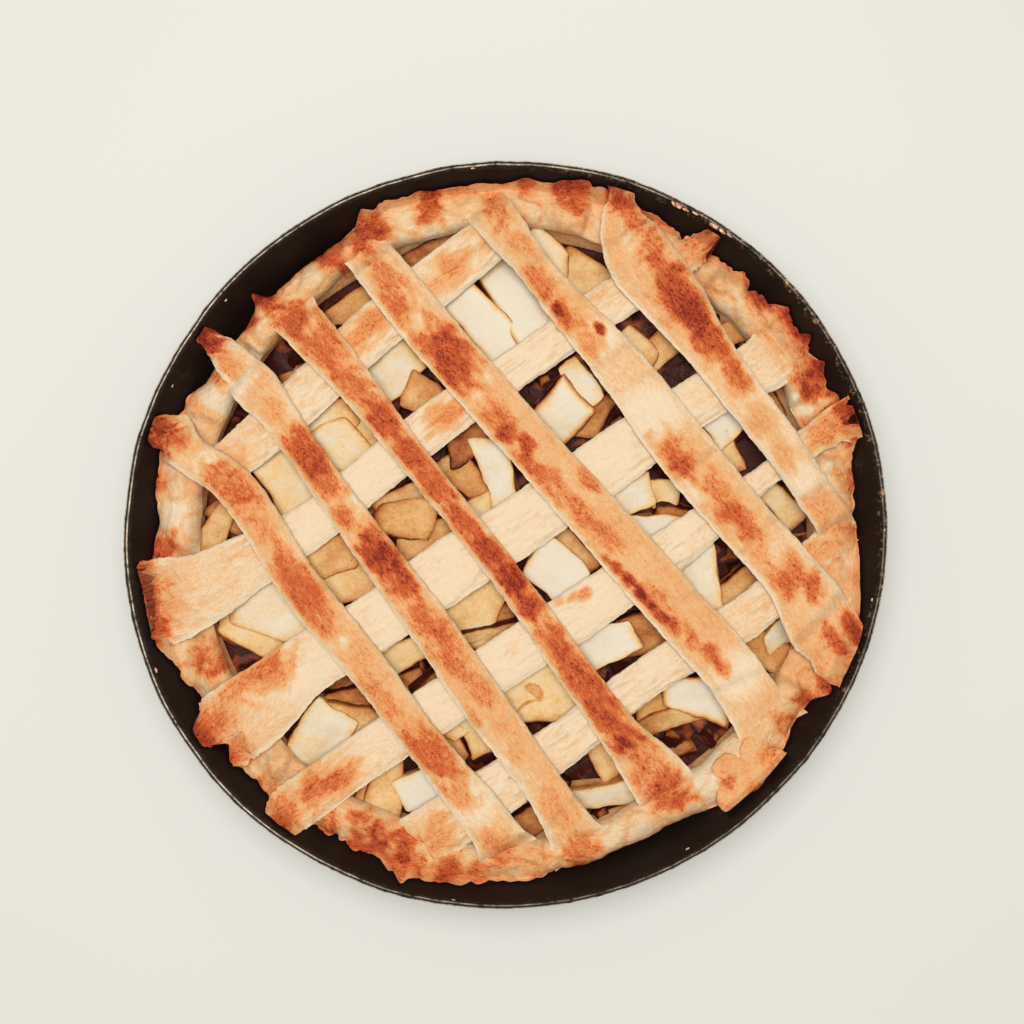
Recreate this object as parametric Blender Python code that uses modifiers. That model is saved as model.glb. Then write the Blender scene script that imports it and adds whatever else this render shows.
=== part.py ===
"""A lattice apple pie in its round black steel tin, 280 mm across the rim.

The tin holds a pastry case with a rolled rim. The case is filled with apple slices. Five under strips lie on
the apple from lower left to upper right, and six over strips cross them. A scalloped patch of pastry mends the rim.
Run it with: blender --background --python part.py
"""

import math
import random

import bmesh
import bpy
from mathutils import Matrix, Vector, noise

MM = 0.001

TIN_HEIGHT = 48 * MM
TIN_SHEET = 0.9 * MM
TIN_MOUTH_RADIUS = 136.5 * MM  # inside, at the top, on the mean circle
TIN_FLARE = 0.42  # how far the wall leans out for each unit of height
TIN_CORNER = 5 * MM
HEM_RADIUS = 0.95 * MM
OVALITY = 0.0124  # the old tin is bent a little out of round
OVAL_TURN = math.radians(16)
TIN_STEPS = 60

CASE_GAP = 0.6 * MM  # between the pastry case and the tin
CASE_FLOOR = 4 * MM
CASE_INSIDE = 113.5 * MM  # radius of the case's inner wall, half way up
RIM_CREST = 35 * MM
# The rim's outer radius every 30 degrees, from the right and counter-clockwise.
RIM_OUTLINE = [r * MM for r in (130, 131.5, 128.5, 129.5, 126.5, 124.5, 129, 128.5, 129, 128, 124, 129)]
RIM_WAVE = 0.7 * MM
CASE_STEPS = 76

HEAP_TOP = 33 * MM  # the apple's height in the middle
HEAP_FALL = 1.5 * MM  # how much lower it is at the case's wall
CORE_DEPTH = 8 * MM  # how far the dark floor between slices lies below the heap
CORE_STEPS = 36
SLICE_THICKNESS = 10 * MM

REST_GAP = 0.3 * MM  # between pieces that lie on each other
CROSSING_GAP = 0.7 * MM  # between an over strip and an under strip
STRIP_THICKNESS = 3.0 * MM
RIM_REACH = 113 * MM  # beyond this radius a strip lies on the rim
RIM_CLIMB = 14 * MM  # the length over which it rises on to the rim
TIP_RADIUS = 134.4 * MM  # no torn tip reaches further, on the mean circle
SAG_SHARE = 0.55  # of the lift over an under strip, what stays half way between two of them
PLATEAU = 7 * MM  # how far past an under strip's edge an over strip stays level
SAG_RAMP = 7 * MM
RING_SPACING = 8.0 * MM
END_CROWDING = 0.35  # how much closer the rings are at a strip's ends

# A strip's cross-section, anticlockwise from the lower right: how far across, and how high.
SECTION = (
    (0.9, 0.0), (1.0, 0.4), (0.84, 0.86), (0.32, 1.0), (-0.32, 1.0), (-0.84, 0.86), (-1.0, 0.4), (-0.9, 0.0), (0.0, 0.0),
)

# Each strip's centre line seen from above, as stations of x, y and width in millimetres.
UNDER_STRIPS = {
    "under_strip_1": ((-110, 22, 12), (-95, 34, 17), (-73, 54, 18), (-50, 76, 19), (-22, 98, 19), (3, 117, 16)),
    "under_strip_2": (
        (-137, -25, 30), (-129, -24, 32), (-114, -20, 27), (-97, -11, 22), (-72, 4, 17), (-49, 23, 17),
        (-24, 43, 17), (8, 65, 14.5), (38, 86, 16), (62, 101, 14), (80, 112, 5),
    ),
    "under_strip_3": (
        (-117, -75, 9), (-108, -70, 22), (-91, -62, 27), (-75, -49, 23), (-49, -33, 22), (-19, -12, 23),
        (6, 4, 22), (40, 28, 22), (72, 50, 18), (97, 65, 21), (110, 77, 21), (116, 82, 12),
    ),
    "under_strip_4": (
        (-87, -108, 8), (-79, -102, 19), (-57, -86, 18), (-26, -65, 19), (2, -46, 19), (31, -27, 19),
        (67, -2, 16), (95, 20, 9), (110, 32, 11), (122, 41, 13), (132, 49, 5),
    ),
    "under_strip_5": ((-39, -123, 16), (-28, -112, 22), (-2, -95, 20), (23, -77, 17), (54, -53, 15), (90, -31, 16),
                      (117, -6, 13), (128, 3, 11)),
}
OVER_STRIPS = {
    "over_strip_1": ((-132, 38, 12), (-124, 35, 21), (-99, 16, 15), (-77, -18, 15.5), (-52, -49, 15), (-30, -78, 14),
                     (-8, -105, 17), (2, -121, 19)),
    "over_strip_2": ((-118, 77, 4), (-109, 70, 11), (-96, 57, 21), (-85, 45, 14), (-73, 28, 12.5), (-51, -3, 14),
                     (-28, -34, 16), (-6, -66, 16.5), (15, -95, 15), (30, -120, 21)),
    "over_strip_3": ((-95, 91, 5), (-86, 85, 14), (-70, 72, 17), (-55, 55, 14), (-42, 38, 12), (-18, 8, 11),
                     (3, -19, 11.5), (23, -47, 13), (41, -72, 15), (56, -90, 22), (63, -100, 18)),
    "over_strip_4": ((-59, 113, 15), (-46, 98, 18), (-29, 77, 19), (-8, 53, 19), (17, 25, 19), (42, -3, 20.5),
                     (62, -26, 21), (82, -48, 21), (96, -69, 22)),
    "over_strip_5": ((-9, 125, 13), (-2, 115, 16), (8, 103, 13), (21, 87, 14.5), (43, 62, 18.5), (65, 33, 21.5),
                     (86, 8, 21), (106, -15, 20), (121, -34, 23), (132, -45, 16)),
    "over_strip_6": ((38, 134, 6), (43, 126, 13), (48, 112, 23), (55, 99, 26), (64, 86, 22), (76, 68, 17),
                     (88, 52, 15), (99, 38, 14.5), (109, 24, 14), (118, 10, 14), (125, 0, 12)),
}

PATCH_CENTRE = Vector((91 * MM, -89 * MM))
PATCH_RADIUS = 12.6 * MM
PATCH_THICKNESS = 3.4 * MM
PATCH_LIMIT = 132 * MM  # it stops short of the tin's wall
PATCH_LOBES = 5
PATCH_TURN = math.radians(-20)

# The apple slices that show: x, y, bearing in degrees, length, width, roll in degrees, depth below the heap.
SLICES = (
    (-110, 2, 62, 20, 8, 10, 1.5), (-86, -30, -28, 28, 16, 4, 0.5), (-96, -38, -33, 24, 10, -12, 2.0),
    (-70, -77, 60, 22, 16, 6, 0.8), (-58, -72, -20, 22, 12, 10, 2.5), (-60, -63, 20, 18, 9, 20, 4.5),
    (-46, -96, 80, 22, 11, 8, 1.5), (-31, -98, 10, 16, 13, 0, 0.2), (-52, -101, 70, 14, 9, 10, 1.5),
    (-83, 19, -55, 26, 13, -6, 0.8), (-65, -8, 20, 18, 12, 8, 1.0), (-60, -20, 12, 26, 12, -5, 1.6),
    (-38, -47, 25, 22, 10, 5, 1.2), (-36, -56, 30, 12, 9, 15, 3.0), (-29, -56, 40, 14, 5, 30, 1.5),
    (-18, -73, 40, 10, 9, 0, 1.0), (-10, -76, -70, 13, 9, 5, 0.8), (-21, -79, -50, 14, 7, 10, 2.0),
    (12, -107, 30, 14, 9, 10, 2.5), (-67, 42, 30, 18, 12, 5, 1.5), (-62, 33, -50, 18, 13, 0, 0.4),
    (-51, 38, -60, 18, 8, 15, 1.6), (-38, 6, 0, 20, 12, 0, 0.3), (-39, 14, 30, 18, 8, 20, 1.5),
    (-30, -1, 25, 20, 9, 10, 2.0), (-11, -28, 62, 24, 16, 4, 1.2), (-7, -37, 12, 22, 5, 30, 1.2),
    (-1, -31, 20, 11, 9, 10, 3.0), (14, -59, 10, 30, 22, 2, 0.6), (38, -83, -60, 16, 9, 20, 1.8),
    (37, -98, 8, 24, 8, 20, 0.8), (-59, 86, 25, 16, 8, 10, 3.0), (-44, 61, 50, 22, 13, 6, 1.2),
    (-31, 52, -30, 14, 11, 5, 3.0), (-14, 34, 25, 15, 11, 0, 1.5), (-3, 21, -75, 26, 10, 8, 1.0),
    (-15, 21, -50, 18, 9, 10, 3.0), (-11, 10, 20, 10, 7, 5, 1.5), (19, -15, -40, 20, 15, 3, 0.2),
    (26, -6, -45, 18, 9, 15, 3.0), (38, -41, 18, 20, 12, 3, 0.3), (52, -37, 10, 20, 14, 8, 3.2),
    (72, -61, -10, 22, 13, 5, 0.5), (57, -64, 10, 14, 8, 15, 2.0), (61, -70, 20, 22, 7, 25, 2.6),
    (-28, 107, 25, 24, 8, 10, 4.5), (-8, 79, -48, 34, 13, 3, 0.3), (5, 86, -60, 34, 14, -4, 0.3),
    (28, 57, -60, 16, 9, 8, 0.8), (21, 46, 50, 18, 15, 5, 0.6), (33, 46, 70, 16, 10, 10, 3.5),
    (47, 15, 20, 14, 11, 3, 0.5), (57, 15, -10, 14, 9, 5, 2.0), (63, 8, -5, 13, 6, 30, 1.0),
    (56, 1, -5, 22, 10, 5, 0.4), (73, -17, -70, 22, 13, 5, 0.6), (86, -17, 40, 18, 9, 10, 2.2),
    (98, -43, -30, 16, 11, 5, 3.0), (103, -38, 40, 10, 7, 15, 1.5), (16, 106, -30, 15, 10, 5, 0.5),
    (28, 97, -30, 20, 14, -5, 2.2), (50, 70, -40, 14, 9, 10, 1.8), (58, 69, 50, 15, 9, 10, 2.8),
    (81, 41, -45, 12, 11, 0, 0.4), (82, 31, -60, 14, 10, 10, 1.2), (103, 13, -45, 20, 8, 15, 2.4),
    (86, 76, 20, 12, 8, 0, 3.0), (101, 47, -60, 14, 7, 20, 2.5),
)
SLICE_SIDES = 6
PITCH_LIMIT = math.radians(5)

CRUST_COLOUR = (0.80, 0.52, 0.28)
STRIP_COLOUR = (0.84, 0.58, 0.33)
APPLE_COLOUR = (0.86, 0.68, 0.38)
TIN_COLOUR = (0.03, 0.026, 0.023)


def clear_scene():
    for obj in list(bpy.data.objects):
        bpy.data.objects.remove(obj, do_unlink=True)


def collection_named(name):
    collection = bpy.data.collections.new(name)
    bpy.context.scene.collection.children.link(collection)
    return collection


def material_named(name, colour, roughness, metallic=0.0):
    material = bpy.data.materials.new(name)
    material.use_nodes = True
    shader = material.node_tree.nodes["Principled BSDF"]
    shader.inputs["Base Color"].default_value = (*colour, 1.0)
    shader.inputs["Roughness"].default_value = roughness
    shader.inputs["Metallic"].default_value = metallic
    material.diffuse_color = (*colour, 1.0)
    return material


def object_from(bm, name, collection, material=None):
    mesh = bpy.data.meshes.new(name)
    bm.to_mesh(mesh)
    bm.free()
    obj = bpy.data.objects.new(name, mesh)
    if material:
        mesh.materials.append(material)
    collection.objects.link(obj)
    return obj


def shade(obj, angle=40):
    obj.data.shade_smooth()
    obj.data.set_sharp_from_angle(angle=math.radians(angle))


def screwed(name, profile, steps, collection, material=None):
    """An object turned about Z from a profile of radius and height, on the axis at its top, then its bottom end."""
    bm = bmesh.new()
    points = [bm.verts.new((radius, 0, height)) for radius, height in profile]
    for pair in zip(points, points[1:]):
        bm.edges.new(pair)
    obj = object_from(bm, name, collection, material)
    screw = obj.modifiers.new("turn", "SCREW")
    screw.steps = screw.render_steps = steps
    screw.use_merge_vertices = True
    screw.merge_threshold = 0.01 * MM
    return obj


def applied(obj):
    """Turns the object's modifiers into its mesh."""
    graph = bpy.context.evaluated_depsgraph_get()
    mesh = bpy.data.meshes.new_from_object(obj.evaluated_get(graph), depsgraph=graph)
    obj.modifiers.clear()
    obj.data = mesh
    return obj


def keep_largest_shell(obj):
    """Drops loose scraps and the skins of sealed hollows, which makes the hollows solid."""
    bm = bmesh.new()
    bm.from_mesh(obj.data)
    bmesh.ops.triangulate(bm, faces=bm.faces)
    bmesh.ops.dissolve_degenerate(bm, dist=0.02 * MM, edges=bm.edges)
    left, shells = set(bm.verts), []
    while left:
        shell, edge = set(), [left.pop()]
        while edge:
            vert = edge.pop()
            shell.add(vert)
            near = {link.other_vert(vert) for link in vert.link_edges} & left
            left -= near
            edge.extend(near)
        shells.append(shell)
    shells.sort(key=len)
    bmesh.ops.delete(bm, geom=[vert for shell in shells[:-1] for vert in shell], context="VERTS")
    bm.to_mesh(obj.data)
    bm.free()


def smooth(share):
    share = min(1.0, max(0.0, share))
    return share * share * (3 - 2 * share)


def oval(angle):
    """How much wider than the mean circle the tin is in a direction."""
    return 1 + OVALITY * math.cos(2 * (angle - OVAL_TURN))


def wall_radius(height):
    return TIN_MOUTH_RADIUS - TIN_FLARE * (TIN_HEIGHT - height)


def heap_height(radius):
    return HEAP_TOP - HEAP_FALL * (radius / CASE_INSIDE) ** 2


def wall_rest(radius, angle):
    """The height at which a tip that leans on the tin's wall lies, clear of it."""
    to_wall = TIN_MOUTH_RADIUS - CASE_GAP - radius / oval(angle)
    return TIN_HEIGHT - to_wall / TIN_FLARE


def under_rest(x, y):
    """The height of an under strip's lower face: on the apple, up on to the rim and up the tin's wall."""
    radius, angle = math.hypot(x, y), math.atan2(y, x)
    heap = heap_height(radius) + REST_GAP
    climb = smooth((radius - RIM_REACH + RIM_CLIMB) / RIM_CLIMB)
    on_rim = heap + climb * (RIM_CREST + REST_GAP - heap)
    return max(on_rim, wall_rest(radius, angle))


def catmull_rom(a, b, c, d, t):
    return 0.5 * (2 * b + (c - a) * t + (2 * a - 5 * b + 4 * c - d) * t * t + (3 * b - a - 3 * c + d) * t ** 3)


class Route:
    """A strip's centre line and width, as a smooth curve through its stations."""

    samples_per_span = 12

    def __init__(self, stations):
        knots = [Vector(station) * MM for station in stations]
        ends = [2 * knots[0] - knots[1], *knots, 2 * knots[-1] - knots[-2]]
        self.points = []
        for a, b, c, d in zip(ends, ends[1:], ends[2:], ends[3:]):
            for step in range(self.samples_per_span):
                self.points.append(catmull_rom(a, b, c, d, step / self.samples_per_span))
        self.points.append(knots[-1])
        self.reach = [0.0]
        for before, after in zip(self.points, self.points[1:]):
            self.reach.append(self.reach[-1] + (after.xy - before.xy).length)

    @property
    def length(self):
        return self.reach[-1]

    def at(self, distance):
        """Centre, direction and width at a distance from the start."""
        k = next((i for i, far in enumerate(self.reach[1:]) if far >= distance), len(self.reach) - 2)
        share = (distance - self.reach[k]) / max(self.reach[k + 1] - self.reach[k], 1e-9)
        here = self.points[k].lerp(self.points[k + 1], min(1.0, max(0.0, share)))
        near, far = self.points[max(k - 2, 0)].xy, self.points[min(k + 3, len(self.points) - 1)].xy
        return here.xy, (far - near).normalized(), here.z


def cover_of(routes):
    """A function of x and y: 1 over an under strip, falling to 0 away from it."""
    spots = [(p.xy, p.z / 2) for route in routes for p in route.points]

    def cover(x, y):
        here = Vector((x, y))
        beyond = min((here - centre).length - half for centre, half in spots)
        return smooth((PLATEAU + SAG_RAMP - beyond) / SAG_RAMP)

    return cover


def over_rest_on(routes):
    """A function of x and y: the height of an over strip's lower face."""
    cover = cover_of(routes)

    def over_rest(x, y):
        share = cover(x, y)
        inside = 1 - smooth((math.hypot(x, y) - RIM_REACH + RIM_CLIMB) / RIM_CLIMB)
        share = max(share, SAG_SHARE * inside)
        return under_rest(x, y) + share * (STRIP_THICKNESS + CROSSING_GAP)

    return over_rest


def held_in_tin(point, reach=TIP_RADIUS):
    """Pulls a torn tip back from the tin's wall."""
    angle = math.atan2(point.y, point.x)
    limit = reach * oval(angle)
    return point if point.length <= limit else point * (limit / point.length)


def ring_distance(share, length):
    crowd = END_CROWDING * math.sin(2 * math.pi * share) / (2 * math.pi)
    return (share - crowd) * length


def make_strip(name, route, rest, collection, material):
    """A flat strip with rounded edges that follows its route and what it lies on, with torn ends."""
    rings = round(route.length / RING_SPACING)
    bm = bmesh.new()
    bmesh.ops.create_cone(bm, cap_ends=True, segments=len(SECTION), radius1=1, radius2=1, depth=1)
    along = [e for e in bm.edges if abs(e.verts[0].co.z - e.verts[1].co.z) > 0.5]
    bmesh.ops.subdivide_edges(bm, edges=along, cuts=rings - 1)
    seed = sum(map(ord, name))
    for vert in bm.verts:
        share = vert.co.z + 0.5
        corner = round(math.atan2(vert.co.y, vert.co.x) / (2 * math.pi) * len(SECTION)) % len(SECTION)
        across, high = SECTION[corner]
        distance = ring_distance(share, route.length)
        centre, direction, width = route.at(distance)
        left = Vector((-direction.y, direction.x))
        frayed = noise.noise(Vector((distance * 90, across * 1.7, seed)))
        place = centre + left * across * width / 2 * (1 + 0.08 * frayed)
        if share < 0.001 or share > 0.999:
            tear = 7 * MM * noise.noise(Vector((across * 2.3, seed, share)))
            place += direction * tear
        place = held_in_tin(place)
        ends = min(distance, route.length - distance)
        thickness = STRIP_THICKNESS * (0.6 + 0.4 * smooth(ends / (14 * MM)))
        vert.co = (place.x, place.y, rest(place.x, place.y) + high * thickness)
    obj = object_from(bm, name, collection, material)
    shade(obj)
    return obj


def make_tin(collection, material):
    """A flared tin of thin sheet with a rounded lower corner and a hemmed rim, bent slightly oval."""
    outer_base = wall_radius(0) + TIN_SHEET
    lean = math.atan(TIN_FLARE)
    inside = [(0, TIN_SHEET), (wall_radius(TIN_SHEET) - TIN_CORNER, TIN_SHEET)]
    inside += [(wall_radius(TIN_CORNER) - 1.2 * MM, TIN_SHEET + 1.2 * MM), (wall_radius(TIN_CORNER), TIN_CORNER)]
    inside += [(wall_radius(TIN_HEIGHT - 2 * HEM_RADIUS), TIN_HEIGHT - 2 * HEM_RADIUS)]
    hem_centre = (wall_radius(TIN_HEIGHT) + HEM_RADIUS, TIN_HEIGHT - HEM_RADIUS)
    turns = [math.pi * (1 - k / 4) - lean for k in range(7)]
    hem = [(hem_centre[0] + HEM_RADIUS * math.cos(a), hem_centre[1] + HEM_RADIUS * math.sin(a)) for a in turns]
    outside = [(wall_radius(TIN_HEIGHT - 3 * HEM_RADIUS) + TIN_SHEET, TIN_HEIGHT - 3 * HEM_RADIUS)]
    outside += [(wall_radius(TIN_CORNER) + TIN_SHEET, TIN_CORNER), (outer_base - 1 * MM, 1.4 * MM)]
    outside += [(outer_base - TIN_CORNER, 0), (0, 0)]
    obj = screwed("tin", inside + hem[1:] + outside, TIN_STEPS, collection, material)
    obj.rotation_euler.z = OVAL_TURN
    obj.scale = (1 + OVALITY, 1 - OVALITY, 1)
    shade(obj)
    return obj


def rim_outer(angle):
    """The rim's outer radius in a direction, smooth through the outline's stations."""
    count = len(RIM_OUTLINE)
    turn = (angle / (2 * math.pi) % 1) * count
    k, share = int(turn), turn % 1
    a, b, c, d = (RIM_OUTLINE[(k + i) % count] for i in (-1, 0, 1, 2))
    wave = RIM_WAVE * noise.noise(Vector((math.cos(angle) * 5, math.sin(angle) * 5, 3.7)))
    return min(catmull_rom(a, b, c, d, share) + wave, wall_radius(33 * MM) * oval(angle) - CASE_GAP)


def make_case(collection, material):
    """The pastry case: a floor, a wall against the tin and a rolled, uneven rim."""
    nominal = wall_radius(31 * MM) - CASE_GAP
    floor = TIN_SHEET + 0.5 * MM
    profile = [(0, floor), (wall_radius(0) - 8.5 * MM, floor), (wall_radius(4 * MM) - 3.6 * MM, 4.2 * MM)]
    profile += [(wall_radius(z * MM) - CASE_GAP, z * MM) for z in (8, 20)]
    roll = ((-0.6, 31.2), (0, 32.6), (-1.2, 34.1), (-4.2, 35), (-7.8, 34.8), (-10.8, 33.2), (-12.4, 30.8))
    profile += [(nominal + out * MM, height * MM) for out, height in roll]
    profile += [(CASE_INSIDE, 27 * MM), (CASE_INSIDE - 0.5 * MM, 12 * MM)]
    profile += [(CASE_INSIDE - 5 * MM, floor + CASE_FLOOR + 0.2 * MM), (0, floor + CASE_FLOOR)]
    obj = applied(screwed("pastry_case", profile[::-1], CASE_STEPS, collection, material))
    for vert in obj.data.vertices:
        radius, angle = vert.co.xy.length, math.atan2(vert.co.y, vert.co.x)
        if radius < 1 * MM:
            continue
        on_rim = smooth((vert.co.z - 22 * MM) / (8 * MM))
        wanted = (radius - nominal) + rim_outer(angle) if on_rim > 0 else radius
        grown = radius * oval(angle) * (1 - on_rim) + wanted * on_rim
        if vert.co.z < 29 * MM and radius <= CASE_INSIDE + 0.1 * MM:
            grown = radius
        lump = noise.noise(Vector((vert.co.x * 45, vert.co.y * 45, 0)))
        vert.co.xy = vert.co.xy * (grown / radius)
        vert.co.z += on_rim * min(0, lump) * 1.2 * MM
    shade(obj)
    return obj


def make_core(collection):
    """The filling under the slices, with an uneven top."""
    floor = TIN_SHEET + 0.5 * MM + CASE_FLOOR + REST_GAP
    side = CASE_INSIDE - 1 * MM
    profile = [(0, floor), (side - 6 * MM, floor + 0.2 * MM), (side - 0.8 * MM, 12.5 * MM)]
    profile += [(side, heap_height(side) - 5 * MM)]
    profile += [(side * k / 8, heap_height(side * k / 8) - CORE_DEPTH) for k in range(7, -1, -1)]
    core = applied(screwed("filling", profile[::-1], CORE_STEPS, collection))
    for vert in core.data.vertices:
        if vert.co.z > 20 * MM and vert.co.xy.length < side - 1 * MM:
            vert.co.z += 1.8 * MM * noise.noise(Vector((vert.co.x * 60, vert.co.y * 60, 1.3)))
    return core


def make_slice(row, number, collection):
    """A flat apple slice with one straight side, the core's, and one round side."""
    x, y, bearing, length, width, roll, depth = row
    draw = random.Random(number)
    bm = bmesh.new()
    bmesh.ops.create_cone(bm, cap_ends=True, segments=SLICE_SIDES, radius1=1, radius2=0.94, depth=1)
    for vert in bm.verts:
        turn = math.atan2(vert.co.y, vert.co.x)
        flat = 0.45 if vert.co.y < 0 else 1.0
        size = vert.co.xy.length * draw.uniform(0.94, 1.03)
        vert.co.x = size * math.cos(turn) * length / 2 * MM
        vert.co.y = size * math.sin(turn) * flat * width / 1.45 * MM
        vert.co.z *= SLICE_THICKNESS
    pitch = draw.uniform(-PITCH_LIMIT, PITCH_LIMIT)
    turn = Matrix.Rotation(math.radians(bearing), 4, "Z") @ Matrix.Rotation(pitch, 4, "Y")
    turn = turn @ Matrix.Rotation(math.radians(roll), 4, "X")
    bmesh.ops.transform(bm, matrix=turn, verts=bm.verts)
    highest = max(vert.co.z for vert in bm.verts)
    lift = heap_height(math.hypot(x, y) * MM) - depth * MM - highest
    side = CASE_INSIDE - 3.5 * MM
    below = (0.1 + number * 7 % 13 * 0.1) * MM
    for vert in bm.verts:
        vert.co += Vector((x * MM, y * MM, lift))
        vert.co.z = min(vert.co.z, heap_height(vert.co.xy.length) - below)
        if vert.co.xy.length > side:
            vert.co.xy *= side / vert.co.xy.length
    bmesh.ops.recalc_face_normals(bm, faces=bm.faces)
    return object_from(bm, f"slice_{number}", collection)


def make_filling(collection, material):
    """The apple filling: a core with the slices that show fused on."""
    core = make_core(collection)
    core.data.materials.append(material)
    loose = collection_named("loose slices")
    for number, row in enumerate(SLICES):
        make_slice(row, number, loose)
    join = core.modifiers.new("join", "BOOLEAN")
    join.operation = "UNION"
    join.operand_type = "COLLECTION"
    join.collection = loose
    join.solver = "MANIFOLD"
    bpy.context.view_layer.update()
    applied(core)
    for piece in list(loose.objects):
        bpy.data.objects.remove(piece, do_unlink=True)
    bpy.data.collections.remove(loose)
    keep_largest_shell(core)
    core.name = "apple_filling"
    shade(core, 30)
    return core


def make_patch(collection, material):
    """A scalloped round of pastry pressed over the rim at the lower right."""
    bm = bmesh.new()
    bmesh.ops.create_cone(bm, cap_ends=True, cap_tris=True, segments=30, radius1=1, radius2=0.86, depth=1)
    for vert in bm.verts:
        turn, size = math.atan2(vert.co.y, vert.co.x), vert.co.xy.length
        lobed = 1 + 0.13 * math.cos(PATCH_LOBES * (turn - PATCH_TURN)) * min(1, size)
        longer = 1 + 0.16 * math.cos(2 * (turn - math.radians(35)))
        reach = PATCH_RADIUS * size * lobed * longer
        place = PATCH_CENTRE + Vector((math.cos(turn), math.sin(turn))) * reach
        place = held_in_tin(place, PATCH_LIMIT)
        crown = (1 - size * size) * 1.2 * MM if vert.co.z > 0 else 0
        high = PATCH_THICKNESS if vert.co.z > 0 else 0
        vert.co = (place.x, place.y, under_rest(place.x, place.y) + high + crown)
    bmesh.ops.recalc_face_normals(bm, faces=bm.faces)
    obj = object_from(bm, "pastry_patch", collection, material)
    shade(obj)
    return obj


def main():
    clear_scene()
    pie = collection_named("Lattice apple pie")
    crust = material_named("baked crust", CRUST_COLOUR, 0.75)
    lattice = material_named("baked lattice", STRIP_COLOUR, 0.72)
    apple = material_named("cooked apple", APPLE_COLOUR, 0.45)
    steel = material_named("black tin", TIN_COLOUR, 0.5, 0.6)
    make_tin(pie, steel)
    make_case(pie, crust)
    make_filling(pie, apple)
    under = {name: Route(stations) for name, stations in UNDER_STRIPS.items()}
    for name, route in under.items():
        make_strip(name, route, under_rest, pie, lattice)
    over_rest = over_rest_on(under.values())
    for name, stations in OVER_STRIPS.items():
        make_strip(name, Route(stations), over_rest, pie, lattice)
    make_patch(pie, crust)


main()
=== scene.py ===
"""Looks of the lattice apple pie in its round black tin: crust, strips, apple slices, syrup, tin and stage.

The camera looks straight down, as the photograph does. Everything stands in the frame of the CAD model.
"""

import math
import random
from types import SimpleNamespace

import bmesh
import bpy
from bpy.props import FloatProperty, FloatVectorProperty, IntProperty, PointerProperty
from mathutils import Matrix, Vector, kdtree, noise


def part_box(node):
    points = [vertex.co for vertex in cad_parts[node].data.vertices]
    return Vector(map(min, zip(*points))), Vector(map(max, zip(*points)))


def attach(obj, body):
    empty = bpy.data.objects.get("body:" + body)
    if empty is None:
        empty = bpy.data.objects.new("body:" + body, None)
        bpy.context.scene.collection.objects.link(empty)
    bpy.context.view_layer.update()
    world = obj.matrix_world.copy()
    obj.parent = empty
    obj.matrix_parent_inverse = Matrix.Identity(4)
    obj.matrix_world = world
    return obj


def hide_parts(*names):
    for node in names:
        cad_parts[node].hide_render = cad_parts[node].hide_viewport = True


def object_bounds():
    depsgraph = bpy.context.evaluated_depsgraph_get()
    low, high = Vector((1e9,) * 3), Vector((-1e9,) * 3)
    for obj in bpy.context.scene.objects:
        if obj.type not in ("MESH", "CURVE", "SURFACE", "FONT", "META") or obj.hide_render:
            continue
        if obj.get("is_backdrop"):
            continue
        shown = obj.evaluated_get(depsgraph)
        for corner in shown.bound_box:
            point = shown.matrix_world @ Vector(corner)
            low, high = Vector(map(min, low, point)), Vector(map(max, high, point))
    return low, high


bl_info = {
    "name": "Lattice apple pie",
    "version": (1, 0, 0),
    "blender": (4, 5, 0),
    "location": "3D View > Sidebar > Apple pie",
    "description": "Builds the looks of a baked lattice apple pie in its round tin",
    "category": "Add Mesh",
}

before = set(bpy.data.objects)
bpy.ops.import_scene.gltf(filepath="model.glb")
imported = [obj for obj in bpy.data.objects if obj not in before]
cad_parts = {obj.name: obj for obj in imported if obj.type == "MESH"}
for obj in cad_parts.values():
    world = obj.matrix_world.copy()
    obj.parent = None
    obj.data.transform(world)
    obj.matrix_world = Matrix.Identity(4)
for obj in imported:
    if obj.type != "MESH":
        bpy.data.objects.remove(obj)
LOADED_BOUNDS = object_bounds()

MM = 0.001
TIN_LOW, TIN_HIGH = (Vector(corner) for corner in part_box("tin"))
TIN_HEIGHT = TIN_HIGH.z
TIN_FLARE = 0.42  # how far the wall leans out for each unit of height
TIN_MOUTH_RADIUS = 136.5 * MM
TIN_MOUTH_HEIGHT = 48 * MM
OVALITY = 0.0124  # the tin's greatest departure from a round one, as a share
OVAL_TURN = math.radians(16)
CASE_INSIDE = 113.5 * MM
HEAP_TOP = 33 * MM
HEAP_FALL = 1.5 * MM  # how much lower the heap is at the case's inner wall

# The case: its section before it is shaped, and the shaped rim.
SECTION_INSIDE = 114 * MM
SECTION_WIDTH = 15 * MM
RIM_BASE = 26.5 * MM  # below this the case only follows the tin
RIM_CREST = 35 * MM
RIM_FOOT = 31 * MM  # the height that the rim's roll starts from
RIM_BULK = 129 * MM  # beyond this only teeth and tips reach
TEETH_START, TEETH_SPAN = 0.72, 0.28  # shares across the rim

# How strips rest on the heap, on the rim and on one another.
STRIP_THICKNESS = 3 * MM
REST_GAP = 0.3 * MM
CROSSING_GAP = 0.7 * MM
RIM_REACH = 113 * MM
RIM_CLIMB = 14 * MM
SAG_SHARE = 0.55  # how high an over strip hangs between two crossings, as a share of its rise
PLATEAU = 7 * MM
SAG_RAMP = 7 * MM

# How far torn tips may reach, and their gap to the tin's wall.
TIP_RADIUS = 134.4 * MM
TIP_CEILING = 49.1 * MM
TIP_GAP = 0.6 * MM

# The rim's outer radius every 15 degrees, from the right and counter-clockwise, in millimetres.
RIM_OUTER = (
    131, 133, 133, 131, 130, 133, 130.5, 130.5, 127, 125.5, 125.5, 132, 131, 134.5, 130.5, 132, 130, 131.5,
    129.5, 127, 126, 131.5, 129.5, 134,
)
# The rim's inner radius every 30 degrees.
RIM_INNER = (115.5, 118, 116, 115, 114.5, 113, 115, 115.5, 114, 115.5, 112, 115)
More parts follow.
